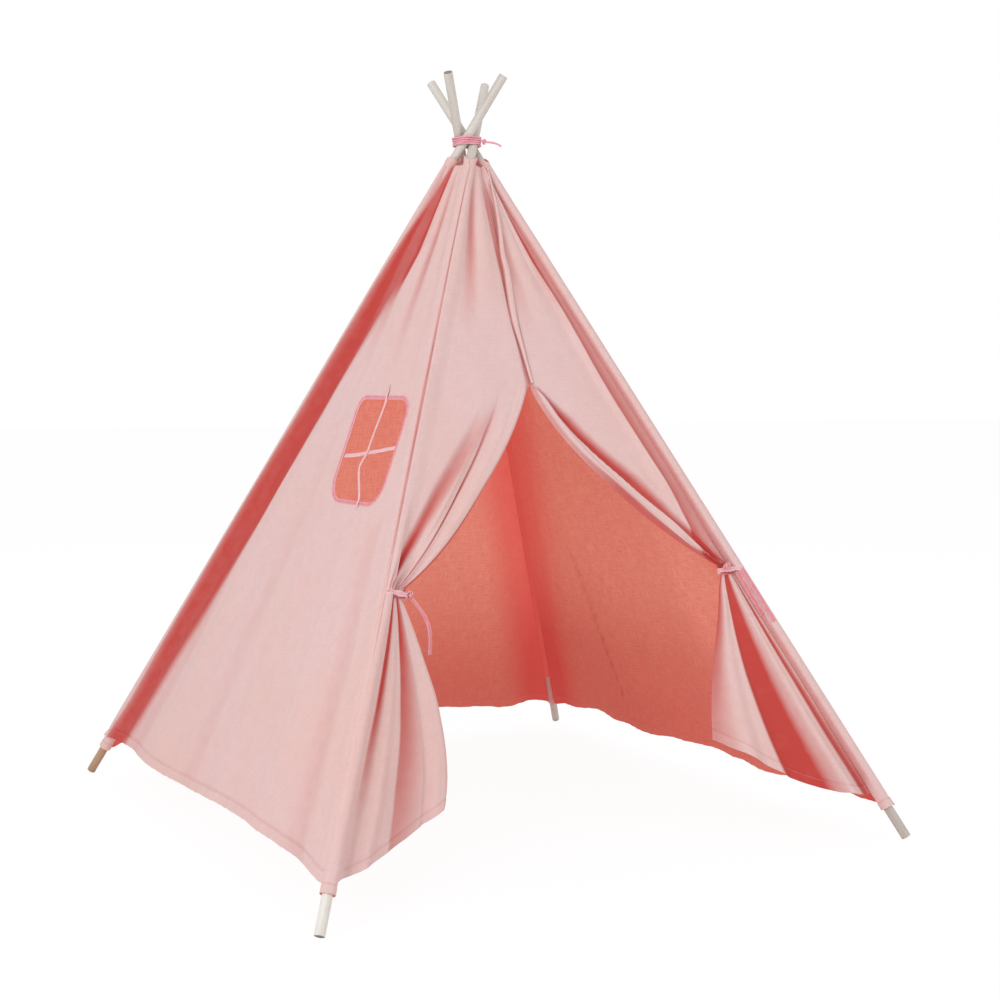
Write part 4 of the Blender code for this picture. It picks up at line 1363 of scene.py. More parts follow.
@dataclass
class Window:
    """The window's opening in the left wall, its bound edge and its crossed ribbons.

    Args:
        centre_along: Place of its middle along the wall, from the wall's middle towards the door.
        centre_height: Height of its middle.
        width: Width of the binding's outline.
        height: Height of the binding's outline, along the wall.
        lean: How far its sides move towards the door for each metre up.
        corners: Radius at the upper door side, upper far side, lower far side and lower door side.
        binding: Half the width of the binding tape.
    """

    centre_along: float = 0.135
    centre_height: float = 0.733
    width: float = 0.226
    height: float = 0.223
    lean: float = -0.16
    corners: tuple[float, float, float, float] = (0.045, 0.030, 0.055, 0.050)
    binding: float = 0.0045

    def frame(self) -> Matrix:
        """Find where the window stands.

        Returns:
            A frame at its middle: X along the wall towards the door, Y up the wall, Z outward.
        """
        height = np.array([self.centre_height])
        _, along, _, normal = LEFT_PLANE.span(height)
        middle = LEFT_PLANE.lay(self.middle(height), height, np.array([WALL_LEVEL]))[0]
        x_axis, z_axis = Vector(along[0]), Vector(normal[0])
        y_axis = z_axis.cross(x_axis).normalized()
        return Matrix.Translation(middle) @ Matrix((x_axis, y_axis, z_axis)).transposed().to_4x4()

    def middle(self, height: Array) -> Array:
        """Distance of its middle from the back pole's axis, at given heights."""
        start, along, _, _ = LEFT_PLANE.span(height)
        return (-self.centre_along - start[..., 1]) / along[..., 1]

    def outline(self, grow: float, steps: int = 14) -> Array:
        """Draw the opening's outline in its own frame.

        Args:
            grow: How far it is grown, or shrunk where this is negative.
            steps: Stretches of the line round each corner.

        Returns:
            A ring of points.
        """
        points = []
        sides = ((1, 1), (-1, 1), (-1, -1), (1, -1))
        for quarter, ((side_x, side_y), corner) in enumerate(zip(sides, self.corners)):
            radius = max(corner + grow, 0.004)
            x = side_x * (self.width / 2 + grow - radius)
            y = side_y * (self.height / 2 + grow - radius)
            angle = (quarter + np.arange(steps + 1) / steps) * math.pi / 2
            points.append(np.stack([x + radius * np.cos(angle), y + radius * np.sin(angle)], axis=1))
        ring = np.concatenate(points)
        return ring + ring[:, 1:] * (self.lean, 0.0)

    def ring(self, grow: float, spacing: float) -> Array:
        """Draw the outline with even spacing.

        Args:
            grow: How far it is grown.
            spacing: Distance between its points.

        Returns:
            A ring of points.
        """
        line = self.outline(grow)
        line = np.concatenate([line, line[:1]])
        whole = lengths(line)[-1]
        return spaced(line, np.linspace(0, whole, int(whole / spacing), endpoint=False))

    def build_binding(self, finishes: Finishes) -> None:
        """Build the tape folded over the opening's edge.

        Args:
            finishes: The materials.
        """
        frame = np.array(self.frame())
        path = placed(with_third(self.ring(-self.binding, 0.0035)), frame)
        angle = np.linspace(0, 2 * math.pi, 14, endpoint=False)
        profile = np.stack([self.binding * np.cos(angle), 0.0021 * np.sin(angle)], axis=1)
        pinch = 1 + 0.07 * np.sin(np.arange(len(path)) * 2.1)[:, None, None]
        ups = np.broadcast_to(frame[:3, 2], path.shape)
        obj = swept("window_tape", path, profile[None] * pinch, ups, True, finishes.ribbon)
        hand_over(obj, "cover", "ribbon", "window_binding", folds=True)

    def build_ribbon(
        self, name: str, node: str, route: tuple, lifts: tuple, width: float, material: Material
    ) -> None:
        """Build one ribbon of the cross.

        Args:
            name: The piece's name.
            node: The CAD node that it stands for.
            route: Its line in the window's frame.
            lifts: How far each point of the line stands out of the wall, in tenths of a millimetre.
            width: The ribbon's width.
            material: Its finish.
        """
        frame = np.array(self.frame())
        line = np.concatenate([np.array(route), np.array(lifts)[:, None] / 10000], axis=1)
        path = placed(through(line, 10), frame)
        widths = width * (1 + 0.06 * np.sin(np.arange(len(path)) * 0.9))
        ups = np.broadcast_to(frame[:3, 2], path.shape)
        obj = swept(name, path, flat_ring(widths, RIBBON_THICKNESS), ups, False, material)
        hand_over(obj, "cover", "ribbon", node, folds=True)

    def build(self, finishes: Finishes) -> None:
        """Build the binding and both ribbons.

        Args:
            finishes: The materials.
        """
        self.build_binding(finishes)
        upright = (
            (-0.0215, 0.131), (-0.0150, 0.118), (-0.0105, 0.1075), (-0.0080, 0.094), (-0.0070, 0.040),
            (-0.0035, -0.0066), (-0.0105, -0.037), (0.0165, -0.0705), (0.0395, -0.0965), (0.0450, -0.1060),
            (0.0460, -0.1190),
        )
        lifts = (16, 19, 32, 14, 10, 12, 9, 9, 14, 32, 16)
        ribbon = finishes.pale_ribbon
        self.build_ribbon("window_ribbon_up", "window_ribbon_upright", upright, lifts, 0.0062, ribbon)
        cross = (
            (-0.1010, -0.0160), (-0.0930, -0.0155), (-0.0490, -0.0125), (-0.0060, -0.0067), (0.0400, -0.0008),
            (0.0950, 0.0072), (0.1050, 0.0085),
        )
        lifts = (-28, -14, -8, -9, -8, -14, -28)
        self.build_ribbon("window_ribbon_over", "window_ribbon_cross", cross, lifts, 0.0072, ribbon)


@dataclass
class WindowWall(WallCloth):
    """The left wall: it lies flat round the window, which is cut out of it."""

    window: Window = field(default_factory=Window)

    def calm(self, across: Array, height: Array) -> Array:
        """How lively the cloth is: quiet round the window.

        Args:
            across: Distance along the wall from its middle.
            height: Height above the floor.

        Returns:
            The share of its liveliness, 0 to 1.
        """
        middle = self.window.middle(height) - LEFT_PLANE.span(height)[2] / 2
        up = (height - self.window.centre_height) / LEFT_WALL_RISE
        beyond_x = np.clip(np.abs(across - middle) - self.window.width / 2, 0, None) / 0.04
        beyond_y = np.clip(np.abs(up) - self.window.height / 2, 0, None) / 0.04
        return ease(np.hypot(beyond_x, beyond_y) - 0.5)

    def open_up(self, obj: Piece) -> None:
        """Take out the cloth inside the window and draw its edge to the outline.

        Args:
            obj: The wall.
        """
        mesh = obj.data
        frame = self.window.frame()
        to_window = np.array(frame.inverted())
        outline = self.window.ring(-self.window.binding, 0.0012)
        ahead = np.roll(outline, -1, axis=0) - outline
        local = placed(read_all(mesh.vertices, "co", 3), to_window)
        near = np.abs(local[:, :2]).max(axis=1) < 0.15
        offset = local[near, None, :2] - outline[None]
        hole = np.zeros(len(local), bool)
        hole[near] = (ahead[None, :, 0] * offset[..., 1] - ahead[None, :, 1] * offset[..., 0]).min(axis=1) > 0
        pick_faces(obj, [hole[list(polygon.vertices)].sum() >= 2 for polygon in mesh.polygons])
        bpy.ops.mesh.delete(type="FACE")
        bpy.ops.object.mode_set(mode="OBJECT")
        edges = read_all(mesh.edges, "vertices", 2, np.int32)
        uses = np.bincount(read_all(mesh.loops, "edge_index", 1, np.int32)[:, 0], minlength=len(edges))
        rim = np.unique(edges[uses == 1])
        place = read_all(mesh.vertices, "co", 3)
        local = placed(place[rim], to_window)
        gap = np.linalg.norm(local[:, None, :2] - outline[None], axis=2)
        close = gap.min(axis=1) < 0.013
        place[rim[close]] = placed(with_third(outline[gap[close].argmin(axis=1)]), np.array(frame))
        put_points(mesh, place)


@dataclass(frozen=True)
class Fold:
    """A fold that runs down a flap or skirt.

    Args:
        columns: Its column share at the top and at the bottom of the cloth's loose part.
        halves: Width share that it fades over towards the pole, and towards the free edge.
        rises: How far it stands out at the top and at the bottom, negative for a valley.
        tints: How much painted shade it takes, at the top and at the bottom; a negative tint takes painted
            shade away.
    """

    columns: tuple[float, float]
    halves: tuple[float, float]
    rises: tuple[float, float]
    tints: tuple[float, float] = (0.0, 0.0)

    def at(self, column: Array, down: Array) -> tuple[Array, Array]:
        """Find the fold at places of the cloth.

        Args:
            column: Column share of each place.
            down: Share of the way down.

        Returns:
            Its rise and its painted shade there.
        """
        courses = (self.columns, self.rises, self.tints)
        middle, rise, tint = (first + (last - first) * down for first, last in courses)
        off = column - middle
        shape = np.cos(np.clip(np.abs(off) / np.where(off < 0, *self.halves), 0, 1) * math.pi / 2) ** 2
        return rise * shape, tint * shape**0.65


@dataclass
class Flap:
    """One half of the front: its upper part, its loose skirt and its tie.

    Args:
        side: -1 for the left half and 1 for the right half.
        pole: The pole that it is sewn to and tied back to.
        form: How it meets the pole.
        neck_width: Width of the gathered neck.
        neck_tilt: How far the neck's free end stands above its sewn end.
        edge_power: How the free edge curves from the apex to the neck.
        gather_start: Where the waves of its top gathers start, as a share of one wave.
        free_edge_drop: Length of the skirt's free edge.
        skirt_width: Width of the skirt along its hem.
        skirt_hem: Height of the skirt's hem at the pole.
        belly: How far the middle of the hem hangs below the line of its ends.
        folds: Folds between the apex and the neck.
        skirt_folds: Folds of the skirt.
        seed: Seed of its ripples.
        spread: How round the skirt's free edge is, from 0 for a straight one.
        strip: The turned-forward strip along the free edge, as (share of the way down, width, width of the
            valley behind it).
    """

    side: int
    pole: PoleLine
    form: EdgeForm
    neck_width: float
    neck_tilt: float
    edge_power: float
    gather_start: float
    free_edge_drop: float
    skirt_width: float
    skirt_hem: float
    belly: float
    folds: tuple[Fold, ...]
    skirt_folds: tuple[Fold, ...]
    seed: int
    spread: float = 1.0
    strip: tuple[tuple[float, float, float], ...] = ()

    def __post_init__(self) -> None:
        """Work out the directions square to the pole."""
        along = FRONT_PLANE.span(np.array([TIE_HEIGHT]))[1][0] * -self.side
        self.across = unit(along - self.pole.down * (along @ self.pole.down))
        outward = unit(np.cross(self.pole.down, self.across))
        self.outward = outward if outward[1] < 0 else -outward
        self.neck_drop = self.pole.drop_of(TIE_HEIGHT) + BAND_HEIGHT / 2

    @property
    def label(self) -> str:
        """The half's plain name."""
        return "left" if self.side < 0 else "right"

    def lay_upper(self) -> Cloth:
        """Lay the half from its top edge to the neck.

        Returns:
            The cloth.
        """
        top, apex = self.pole.drop_of(COVER_TOP), self.pole.drop_of(APEX_HEIGHT)
        neck_top = self.neck_drop - BAND_HEIGHT - 0.004
        drop = np.concatenate([
            np.linspace(top, apex, 56, endpoint=False), np.linspace(apex, neck_top, 84, endpoint=False),
            np.linspace(neck_top, self.neck_drop, 7),
        ])[:, None]
        column = np.concatenate([
            np.linspace(0, 0.16, 16, endpoint=False), np.linspace(0.16, 0.86, 50, endpoint=False),
            np.linspace(0.86, 1, 17),
        ])[None]
        below = np.clip((drop - apex) / (neck_top - apex), 0, 1)
        height = np.broadcast_to(LASH_HEIGHT + drop * self.pole.down[2], (len(drop), column.shape[1]))
        full = FRONT_PLANE.span(height)[2]
        start = self.form.start
        half = full / 2 - start - 0.0005
        width = half + (self.neck_width + SEW_RADIUS - start - half) * below**self.edge_power
        distance = start + width * column
        from_edge = width * (1 - column)
        depth, valley = self.form_upper(column, below, distance, height, from_edge)
        loose = FRONT_PLANE.lay(distance if self.side < 0 else full - distance, height, depth)
        seat = np.sqrt(np.clip(CHANNEL_SKIN**2 - distance**2, 0, None))
        seat = seat - SEW_DIP * ramp(distance, 0.004, CHANNEL_SKIN)
        gather = 0.0040 * np.sin(column * math.pi * 7) * bow(column * 1.02) ** 0.5
        neck = self.pole.at_drop(drop - self.neck_tilt * np.clip(distance, 0, None) / self.neck_width)
        neck = neck + distance[..., None] * self.across + (gather + seat)[..., None] * self.outward
        points = loose + (neck - loose) * ease((below - 0.5) / 0.5)[..., None]
        # Painted shade inside, darker beside the pole.
        corner = 0.8 * (1 - ramp(distance, 0, 0.12)) + 0.2
        return Cloth(points, valley, corner, 0.0, np.where(drop > apex, from_edge, 1.0), drop)

    def form_upper(
        self, column: Array, below: Array, distance: Array, height: Array, from_edge: Array
    ) -> tuple[Array, Array]:
        """Form the upper part.

        Args:
            column: Column share of each point, 0 beside the pole.
            below: Share of its way from the apex to the neck.
            distance: Its distance from the pole's axis.
            height: Its height.
            from_edge: Its distance from the free edge.

        Returns:
            How far each point stands out, and its painted shade.
        """
        rise, tint = self.form.beside(distance, height, FRONT_PLANE.span(height)[2])
        shown, gather, sunk = top_gather(height, 0.93, 1.17, column * 1.6 + self.gather_start)
        inner = bow(column) ** 0.7
        depth = WALL_LEVEL + rise + 0.0045 * shown * gather * inner
        # Painted shade beside the pole and in the hollows of the top gathers.
        valley = tint + GATHER_SHADE * shown * sunk**1.5 * inner
        grown = ramp(below, 0.0, 0.30)
        # Painted shade along each fold.
        for fold in self.folds:
            rise, tint = fold.at(column, below)
            depth = depth + rise * grown
            valley = valley + tint * grown
        rise, tint = self.form_edge(below, height, from_edge)
        depth = depth + rise + Ripples(self.seed, 6, 0.17, 0.0012).at(distance, height) * bow(column) ** 0.5
        return depth, np.clip(valley + tint, 0, 1)

    def form_edge(self, below: Array, height: Array, from_edge: Array) -> tuple[Array, Array]:
        """Form the free edge: rolled below the apex, and sewn to the other half above it.

        Args:
            below: Share of each point's way from the apex to the neck.
            height: Its height.
            from_edge: Its distance from the free edge.

        Returns:
            How far each point stands out, and its painted shade.
        """
        rolled = ramp(below, 0.0, 0.05)
        depth, valley, turned = 0.0, 0.0, 0.006
        if self.strip:
            shares, widths, valleys = np.transpose(self.strip)
            off = from_edge - np.interp(below, shares, widths)
            wide = np.interp(below, shares, valleys)
            fade = 1 - ramp(off, 0.5 * wide, 1.08 * wide)
            forward = ramp(off, 0.0015, -0.0035)
            depth = rolled * ((1 - forward) * -0.009 * fade + forward * 0.005)
            # Painted shade in the valley behind the strip.
            valley = rolled * (1 - forward) * fade * (1 - 0.12 * ramp(below, 0.3, 0.9))
            turned = turned + 0.012 * ramp(below, 0.35, 0.7)
        roll = 0.0045 * hump(from_edge, 0.0, 0.010, 0.024) - 0.008 * (1 - ramp(from_edge, 0, turned))
        # Painted shade on the rolled edge, and along the seam to the other half near the top.
        shade = (0.35 + 0.5 * ramp(below, 0.35, 0.65)) * (1 - ramp(from_edge, 0.6 * turned, turned))
        seam = (1 - rolled) * (1 - ramp(from_edge, 0.004, 0.010))
        depth = depth + rolled * roll - 0.0016 * seam
        return depth, valley + rolled * shade + 0.55 * seam * ramp(height, 1.29, 1.2)

    def lay_skirt(self) -> Cloth:
        """Lay the loose lower end, hanging from the tie and turned a little into the tent.

        Returns:
            The cloth.
        """
        turn = Matrix.Rotation(math.radians(20.0), 3, Vector(self.pole.down))
        if (turn @ Vector(self.across)).dot(Vector(self.outward)) > 0:
            turn.transpose()
        across, outward = (np.array(turn @ Vector(axis)) for axis in (self.across, self.outward))
        top = self.neck_drop + 0.0008
        down = np.concatenate([np.linspace(0, 0.87, 74, endpoint=False), np.linspace(0.87, 1, 22)])[:, None]
        column = np.linspace(0, 1, 92)[None]
        sewn = top + (self.pole.drop_of(self.skirt_hem) - top) * down
        free = top + self.free_edge_drop * down
        opened = down + (np.sin(math.pi / 2 * down**0.92) - down) * self.spread
        width = self.neck_width + (self.skirt_width - self.neck_width) * opened
        fullness = (width / self.skirt_width) ** 1.15
        depth, valley = 0.0, 0.0
        for fold in self.skirt_folds:
            rise, tint = fold.at(column, down)
            depth = depth + rise * fullness
            valley = valley + tint
        above_hem = (1 - down) * (sewn + (free - sewn) * column - top) / np.maximum(down, 0.05)
        turned, groove = hem_marks(above_hem)
        run = width * column
        depth += 0.003 * hump(width * (1 - column), 0.0, 0.008, 0.018) * ramp(down, 0.02, 0.2)
        depth += 0.0008 * turned - 0.0009 * groove
        depth += 0.0010 * Ripples(self.seed + 3, 4, 0.024, 1.0).at(run) * np.exp(-above_hem / 0.02)
        depth += Ripples(self.seed + 2, 5, 0.09, 0.0010).at(run, sewn) * ramp(down, 0.1, 0.5)
        tilt = self.neck_tilt * column * (1 - ramp(down, 0.0, 0.25))
        belly = self.belly * bow(column**0.8) * down**2
        along = self.pole.at_drop(sewn + (free - sewn) * column - tilt + belly)
        side = SLEEVE_RADIUS + 0.0008 + run
        points = along + side[..., None] * across + depth[..., None] * outward
        # Painted shade outside along the folds and in the hem's groove; inside, darker towards the pole.
        return Cloth(points, np.clip(valley + 0.12 * groove, 0, 1), 0.5 - 0.4 * column, 0.0, above_hem, run)

    def build(self, finishes: Finishes) -> None:
        """Build the upper part and the skirt, and say how they are held.

        Args:
            finishes: The materials.
        """
        sides = (finishes.outside, finishes.inside)
        upper = self.lay_upper().sew(f"door_{self.label}", CLOTH_THICKNESS, sides, FRONT_PLANE.outward)
        hand_over(upper, "cover", "cotton_outside", f"front_{self.label}", folds=True)
        length = slant(TIE_HEIGHT, BASE_HALF_DEPTH)
        skirt = self.lay_skirt().sew(f"door_end_{self.label}", CLOTH_THICKNESS, sides, self.outward)
        hand_over(skirt, f"skirt_{self.label}", "cotton_outside", f"skirt_{self.label}")
        anchor = tuple(self.pole.at_drop(self.neck_drop))
        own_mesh(skirt)
        flat_width, length = self.skirt_width * 1.1, self.pole.drop_of(self.skirt_hem) - self.neck_drop


@dataclass
class Channel:
    """The sewn channel that a pole stands in.

    Args:
        pole: The pole in it.
        seam: How strongly its welted seam shows, as a groove and as painted shade in it.
        shaded: How much painted shade its side towards the door takes, in the colour of a fold.
        inner_depth: Distance towards its outer corner, below which it has the inner finish.
        inner_heights: The heights between which it has it.
    """

    pole: PoleLine
    seam: float = 0.35
    shaded: float = 0.0
    inner_depth: float = -0.0095
    inner_heights: tuple[float, float] = (0.13, 1.14)
    sides: int = 40
    rows: int = 190

    def __post_init__(self) -> None:
        """Work out its ends, and its frame at the lash, which faces its outer corner."""
        self.top, self.end = self.pole.drop_of(SLEEVE_TOP), self.pole.drop_of(SLEEVE_END)
        facing = np.array((self.pole.side_x * 0.486, self.pole.side_y * 0.874, 0.0))
        self.frame = np.array(self.pole.matrix(0.0, facing))

    def lay(self) -> Cloth:
        """Lay the channel as a soft tube with a welted seam down its outer corner.

        Returns:
            The cloth, closed round the pole.
        """
        drop = np.concatenate([
            np.linspace(self.top, self.top + 0.04, 12, endpoint=False),
            np.linspace(self.top + 0.04, self.end - 0.03, self.rows),
            np.linspace(self.end - 0.0275, self.end, 12),
        ])[:, None]
        angle = np.linspace(-math.pi, math.pi, self.sides * 2 + 1)[None]
        angle = np.sign(angle) * math.pi * (np.abs(angle) / math.pi) ** 1.25
        run = SLEEVE_RADIUS * angle
        height = LASH_HEIGHT + drop * self.pole.down[2]
        from_top, from_end = drop - self.top, self.end - drop
        groove = self.seam * bell(run, 0, 0.0007) * (0.1 + 0.9 * ramp(height, 0.36, 0.48))
        stitched = bell(from_end, CHANNEL_HEM, 0.0016)
        soft = Ripples(self.pole.side_x * 3 + self.pole.side_y + 20, 6, 0.11, 0.00035)
        radius = SLEEVE_RADIUS - 0.0001 + soft.at(4 * run, drop) * np.cos(angle / 2) ** 2 - 0.0011 * groove
        radius += 0.0006 * (1 - ramp(from_end, CHANNEL_HEM - HEM_TURN, CHANNEL_HEM)) - 0.0004 * stitched
        radius += 0.0012 * (1 - ramp(from_top, 0.0, 0.012))
        notch = 0.016 * np.clip(np.cos(angle), 0, 1) ** 2 * (1 - ramp(from_top, 0.0, 0.05))
        local = np.stack([radius * np.cos(angle), radius * np.sin(angle), -drop - notch], axis=2)
        shaded = self.shaded * ramp(angle, -math.radians(50), -math.radians(88)) * ramp(from_end, 0.03, 0.08)
        # Painted shade outside in the seam's groove, on the side towards the door and in the hem's stitched
        # groove; inside, painted shade the same all over.
        valley = np.clip(0.8 * groove + shaded + 0.15 * stitched, 0, 1)
        return Cloth(placed(local, self.frame), valley, 0.9, 0.55, from_end, run, closed=True)

    def face_out(self, mesh: bpy.types.Mesh) -> None:
        """Turn the tube's faces away from the pole, and give those in the tent the inner finish.

        Args:
            mesh: The tube.
        """
        face = mesh.polygons[len(mesh.polygons) // 2]
        centre = np.array(face.center)
        axis = self.pole.at_drop((centre - self.pole.pivot) @ self.pole.down)
        if (centre - axis) @ np.array(face.normal) < 0:
            mesh.flip_normals()
        low, high = self.inner_heights
        for face in mesh.polygons:
            depth = (np.array(face.center) - self.pole.pivot) @ self.frame[:3, 0]
            face.material_index = int(depth < self.inner_depth and low < face.center.z < high)

    def build(self, finishes: Finishes) -> None:
        """Build the channel, and say how it is held.

        Args:
            finishes: The materials.
        """
        sides = (finishes.outside, finishes.inside)
        obj = self.lay().sew(f"channel_{self.pole.label}", CHANNEL_THICKNESS, sides, None)
        self.face_out(obj.data)
        slot = "cotton_outside" if self.pole.side_y < 0 else "cotton_far_walls"
        hand_over(obj, self.pole.body, slot, f"sleeve_{self.pole.label}")


@dataclass
class PoleSticks:
    """The three wooden sections of one pole, turned round and butted end to end.

    Args:
        pole: The pole's line.
        foot: Finish of the lower section; on three poles a copy of the pine that carries painted light and
            shade.
        joints: Distances from the foot at which the sections meet.
        gap: Half the gap between two sections.
    """

    pole: PoleLine
    foot: Wood = Wood.WASHED
    joints: tuple[float, float] = (0.585, 1.170)
    gap: float = 0.00015
    rounding: float = 0.0009

    def build(self, finishes: Finishes) -> None:
        """Build the sections.

        Args:
            finishes: The materials.
        """
        middle, upper = self.joints
        washed = finishes.woods[Wood.WASHED]
        self.build_section("lower", 0.0, middle - self.gap, (True, False), finishes.woods[self.foot])
        self.build_section("middle", middle + self.gap, upper - self.gap, (False, False), washed)
        self.build_section("upper", upper + self.gap, POLE_LENGTH, (False, True), washed)

    def build_section(
        self, part: str, low: float, high: float, ends: tuple[bool, bool], material: Material
    ) -> None:
        """Build one section.

        Args:
            part: Its name: lower, middle or upper.
            low: Distance of its lower end from the foot.
            high: Distance of its upper end.
            ends: Whether its lower and its upper end are free ends.
            material: Its finish.
        """
        bpy.ops.object.select_all(action="DESELECT")
        bpy.ops.mesh.primitive_cylinder_add(vertices=48, radius=POLE_RADIUS, depth=high - low)
        obj = bpy.context.active_object
        obj.name = obj.data.name = f"stick_{self.pole.label}_{part}"
        mesh = obj.data
        if any(ends):
            slopes = [face.normal.z for face in mesh.polygons]
            pick_faces(obj, [abs(slope) > 0.9 and ends[int(slope > 0)] for slope in slopes])
            bpy.ops.mesh.bevel(offset=self.rounding, segments=3, affect="EDGES")
            bpy.ops.object.mode_set(mode="OBJECT")
        place = read_all(mesh.vertices, "co", 3) + (0, 0, (low + high) / 2)
        stick = mesh.attributes.new("stick", "FLOAT_VECTOR", "POINT")
        shifted = place + np.array((0.011 * self.pole.side_x, 0.013 * self.pole.side_y, 0.0))
        stick.data.foreach_set("vector", shifted.astype(np.float32).ravel())
        free = ((place[:, 2] < low + 0.0001) & ends[0]) | ((place[:, 2] > high - 0.0001) & ends[1])
        put_numbers(obj, "sawn_end", free & (np.hypot(place[:, 0], place[:, 1]) < POLE_RADIUS))
        frame = self.pole.matrix(self.pole.below, np.array((0.0, 0.0, -1.0)))
        put_points(mesh, placed(place, np.array(frame)))
        mesh.materials.append(material)
        hand_over(obj, self.pole.body, "pole_wood", f"pole_{self.pole.label}_{part}", angle=40.0)


def trefoil(centre: Array, frame: Array, size: float, steps: int = 60) -> Array:
    """Draw the line of a pulled knot: a trefoil laid in a frame's first two axes.

    Args:
        centre: The knot's middle.
        frame: The frame's axes, as columns.
        size: Radius of the knot's line.
        steps: Points of the line.

    Returns:
        The line's points.
    """
    turn = np.linspace(0, 2 * math.pi, steps, endpoint=False)
    flat = np.stack([
        np.sin(turn) + 2 * np.sin(2 * turn), np.cos(turn) - 2 * np.cos(2 * turn), -1.5 * np.sin(3 * turn),
    ], axis=1)
    return centre + (flat * size / 3) @ frame.T


@dataclass
class Tie:
    """The ribbon that holds a flap back: a band round the neck, a knot and its tails.

    Args:
        flap: The flap that it holds.
        stand_off: Gap between the channel and the knot's ribbon.
        tail_width: Width of the ribbon, laid flat; not used.
    """

    flap: Flap
    stand_off: float = 0.0018
    tail_width: float = 0.010

    def __post_init__(self) -> None:
        """Work out the knot's place."""
        flap = self.flap
        self.turn = np.stack([flap.across, flap.outward, np.cross(flap.across, flap.outward)], axis=1)
        self.slope = flap.neck_tilt / flap.neck_width
        self.origin = flap.pole.at_drop(flap.neck_drop - BAND_HEIGHT / 2)
        if flap.side < 0:
            x, y = wrapped(self.discs(self.stand_off + 0.4 * KNOT_RADIUS), 0.0)
        else:
            channel, far = self.discs(self.stand_off + KNOT_RADIUS)
            x, y = 0.9 * far[0], 0.1 * channel[2] + 0.9 * (far[1] + far[2])
        self.knot = self.origin + self.turn @ np.array((x, y, 0.0)) - self.slope * x * flap.pole.down

    def discs(self, extra: float) -> list[Disc]:
        """The channel and the neck's far end as flat discs, grown by extra."""
        far = SEW_RADIUS + self.flap.neck_width - 0.00375
        return [(0.0, 0.0, SLEEVE_RADIUS + CONTACT_GAP + extra), (far, -SEW_DIP, 0.0075 + extra)]

    def build_band(self, finishes: Finishes) -> None:
        """Build the band, bunched a little as ribbon is.

        Args:
            finishes: The materials.
        """
        discs = self.discs(BAND_THICKNESS / 2)
        line = [wrapped(discs, angle) for angle in np.radians(np.linspace(118.0, -82.0, 60))]
        seat, last = SLEEVE_RADIUS + BAND_THICKNESS, math.radians(-60)
        line = np.array([*line, (seat * math.cos(last), seat * math.sin(last))])
        at = np.linspace(0, lengths(line)[-1], 90)
        flat = spaced(line, at)
        path = self.origin + with_third(flat) @ self.turn.T
        path = path + np.outer(0.005 - self.slope * flat[:, 0], self.flap.pole.down)
        ups = unit(path - (self.origin + self.turn @ np.array((0.012, -0.002, 0.0))))
        widths = BAND_HEIGHT * (0.74 + 0.12 * np.sin(at * 260) + 0.05 * np.sin(at * 900))
        ring = flat_ring(widths, BAND_THICKNESS, 20)
        obj = swept(f"tie_wrap_{self.flap.label}", path, ring, ups, False, finishes.pale_ribbon)
        hand_over(obj, self.flap.pole.body, "ribbon", f"tie_band_{self.flap.label}")

    def build_knot(self, finishes: Finishes) -> None:
        """Build the pulled knot.

        Args:
            finishes: The materials.
        """
        path = trefoil(self.knot, self.turn, KNOT_RADIUS * 0.95)
        ahead = np.roll(path, -1, axis=0) - path
        ups = unit(np.cross(ahead, np.cross(path - self.knot + 1e-5, ahead)) + 1e-9)
        ring = flat_ring(np.full(len(path), 0.0062), 0.0026)
        obj = swept(f"tie_bow_{self.flap.label}", path, ring, ups, True, finishes.ribbon)
        hand_over(obj, self.flap.pole.body, "ribbon", f"tie_knot_{self.flap.label}")

    def build_tail(
        self, end: str, path: Array, ups: Array, widths: Array, material: Material
    ) -> None:
        """Build one loose end of the ribbon, and say how it lies.

        Args:
            end: Which one it is.
            path: Its centre line, from the knot.
            ups: Direction that its flat side faces, along the line.
            widths: Its width along the line.
            material: Its finish.
        """
        obj = swept(f"tie_end_{end}", path, flat_ring(widths, RIBBON_THICKNESS), ups, False, material)
        hand_over(obj, self.flap.pole.body, "ribbon", f"tie_tail_{end}")

    def build_hanging_tail(self, finishes: Finishes) -> None:
        """Build the left tie's tail, which hangs in the door and turns its flat side out at its end.

        Args:
            finishes: The materials.
        """
        steps = (
            (0.0035, -0.0035, -0.0070), (0.014, -0.007, -0.022), (0.028, -0.009, -0.043),
            (0.035, -0.009, -0.064), (0.037, -0.008, -0.086), (0.036, -0.007, -0.108),
        )
        path = through(self.knot + np.array(steps), 10)
        share = np.linspace(0, 1, len(path))
        turn = math.radians(-29) + math.radians(62) * (1 - ease((share - 0.35) / 0.4))
        ups = np.stack([-np.sin(turn), -np.cos(turn), 0.15 + 0 * turn], axis=1)
        widths = 0.0062 + 0.0038 * ease((share - 0.45) / 0.35)
        self.build_tail("left", path, ups, widths, finishes.ribbon)

    def build_lying_tails(self, finishes: Finishes) -> None:
        """Build the right tie's two tails, which lie down the channel.

        Args:
            finishes: The materials.
        """
        flap, share = self.flap, np.linspace(0, 1, 60)
        start = flap.neck_drop + CONTACT_GAP
        widths = 0.0092 + 0.0008 * np.sin(share * 20)
        lift = SLEEVE_RADIUS + 0.0014 + 0.0011 * bow(share) * np.abs(np.sin(share * 9))
        for name, length, begin, finish in (("long", 0.118, -2.0, -10.0), ("short", 0.096, -50.0, -64.0)):
            middle = np.radians(begin + (finish - begin) * share)
            facing = np.multiply.outer(np.cos(middle), flap.outward)
            facing = facing - np.multiply.outer(np.sin(middle), flap.across)
            path = flap.pole.at_drop(start + length * share) + facing * lift[:, None]
            self.build_tail(f"right_{name}", path, facing, widths, finishes.ribbon)

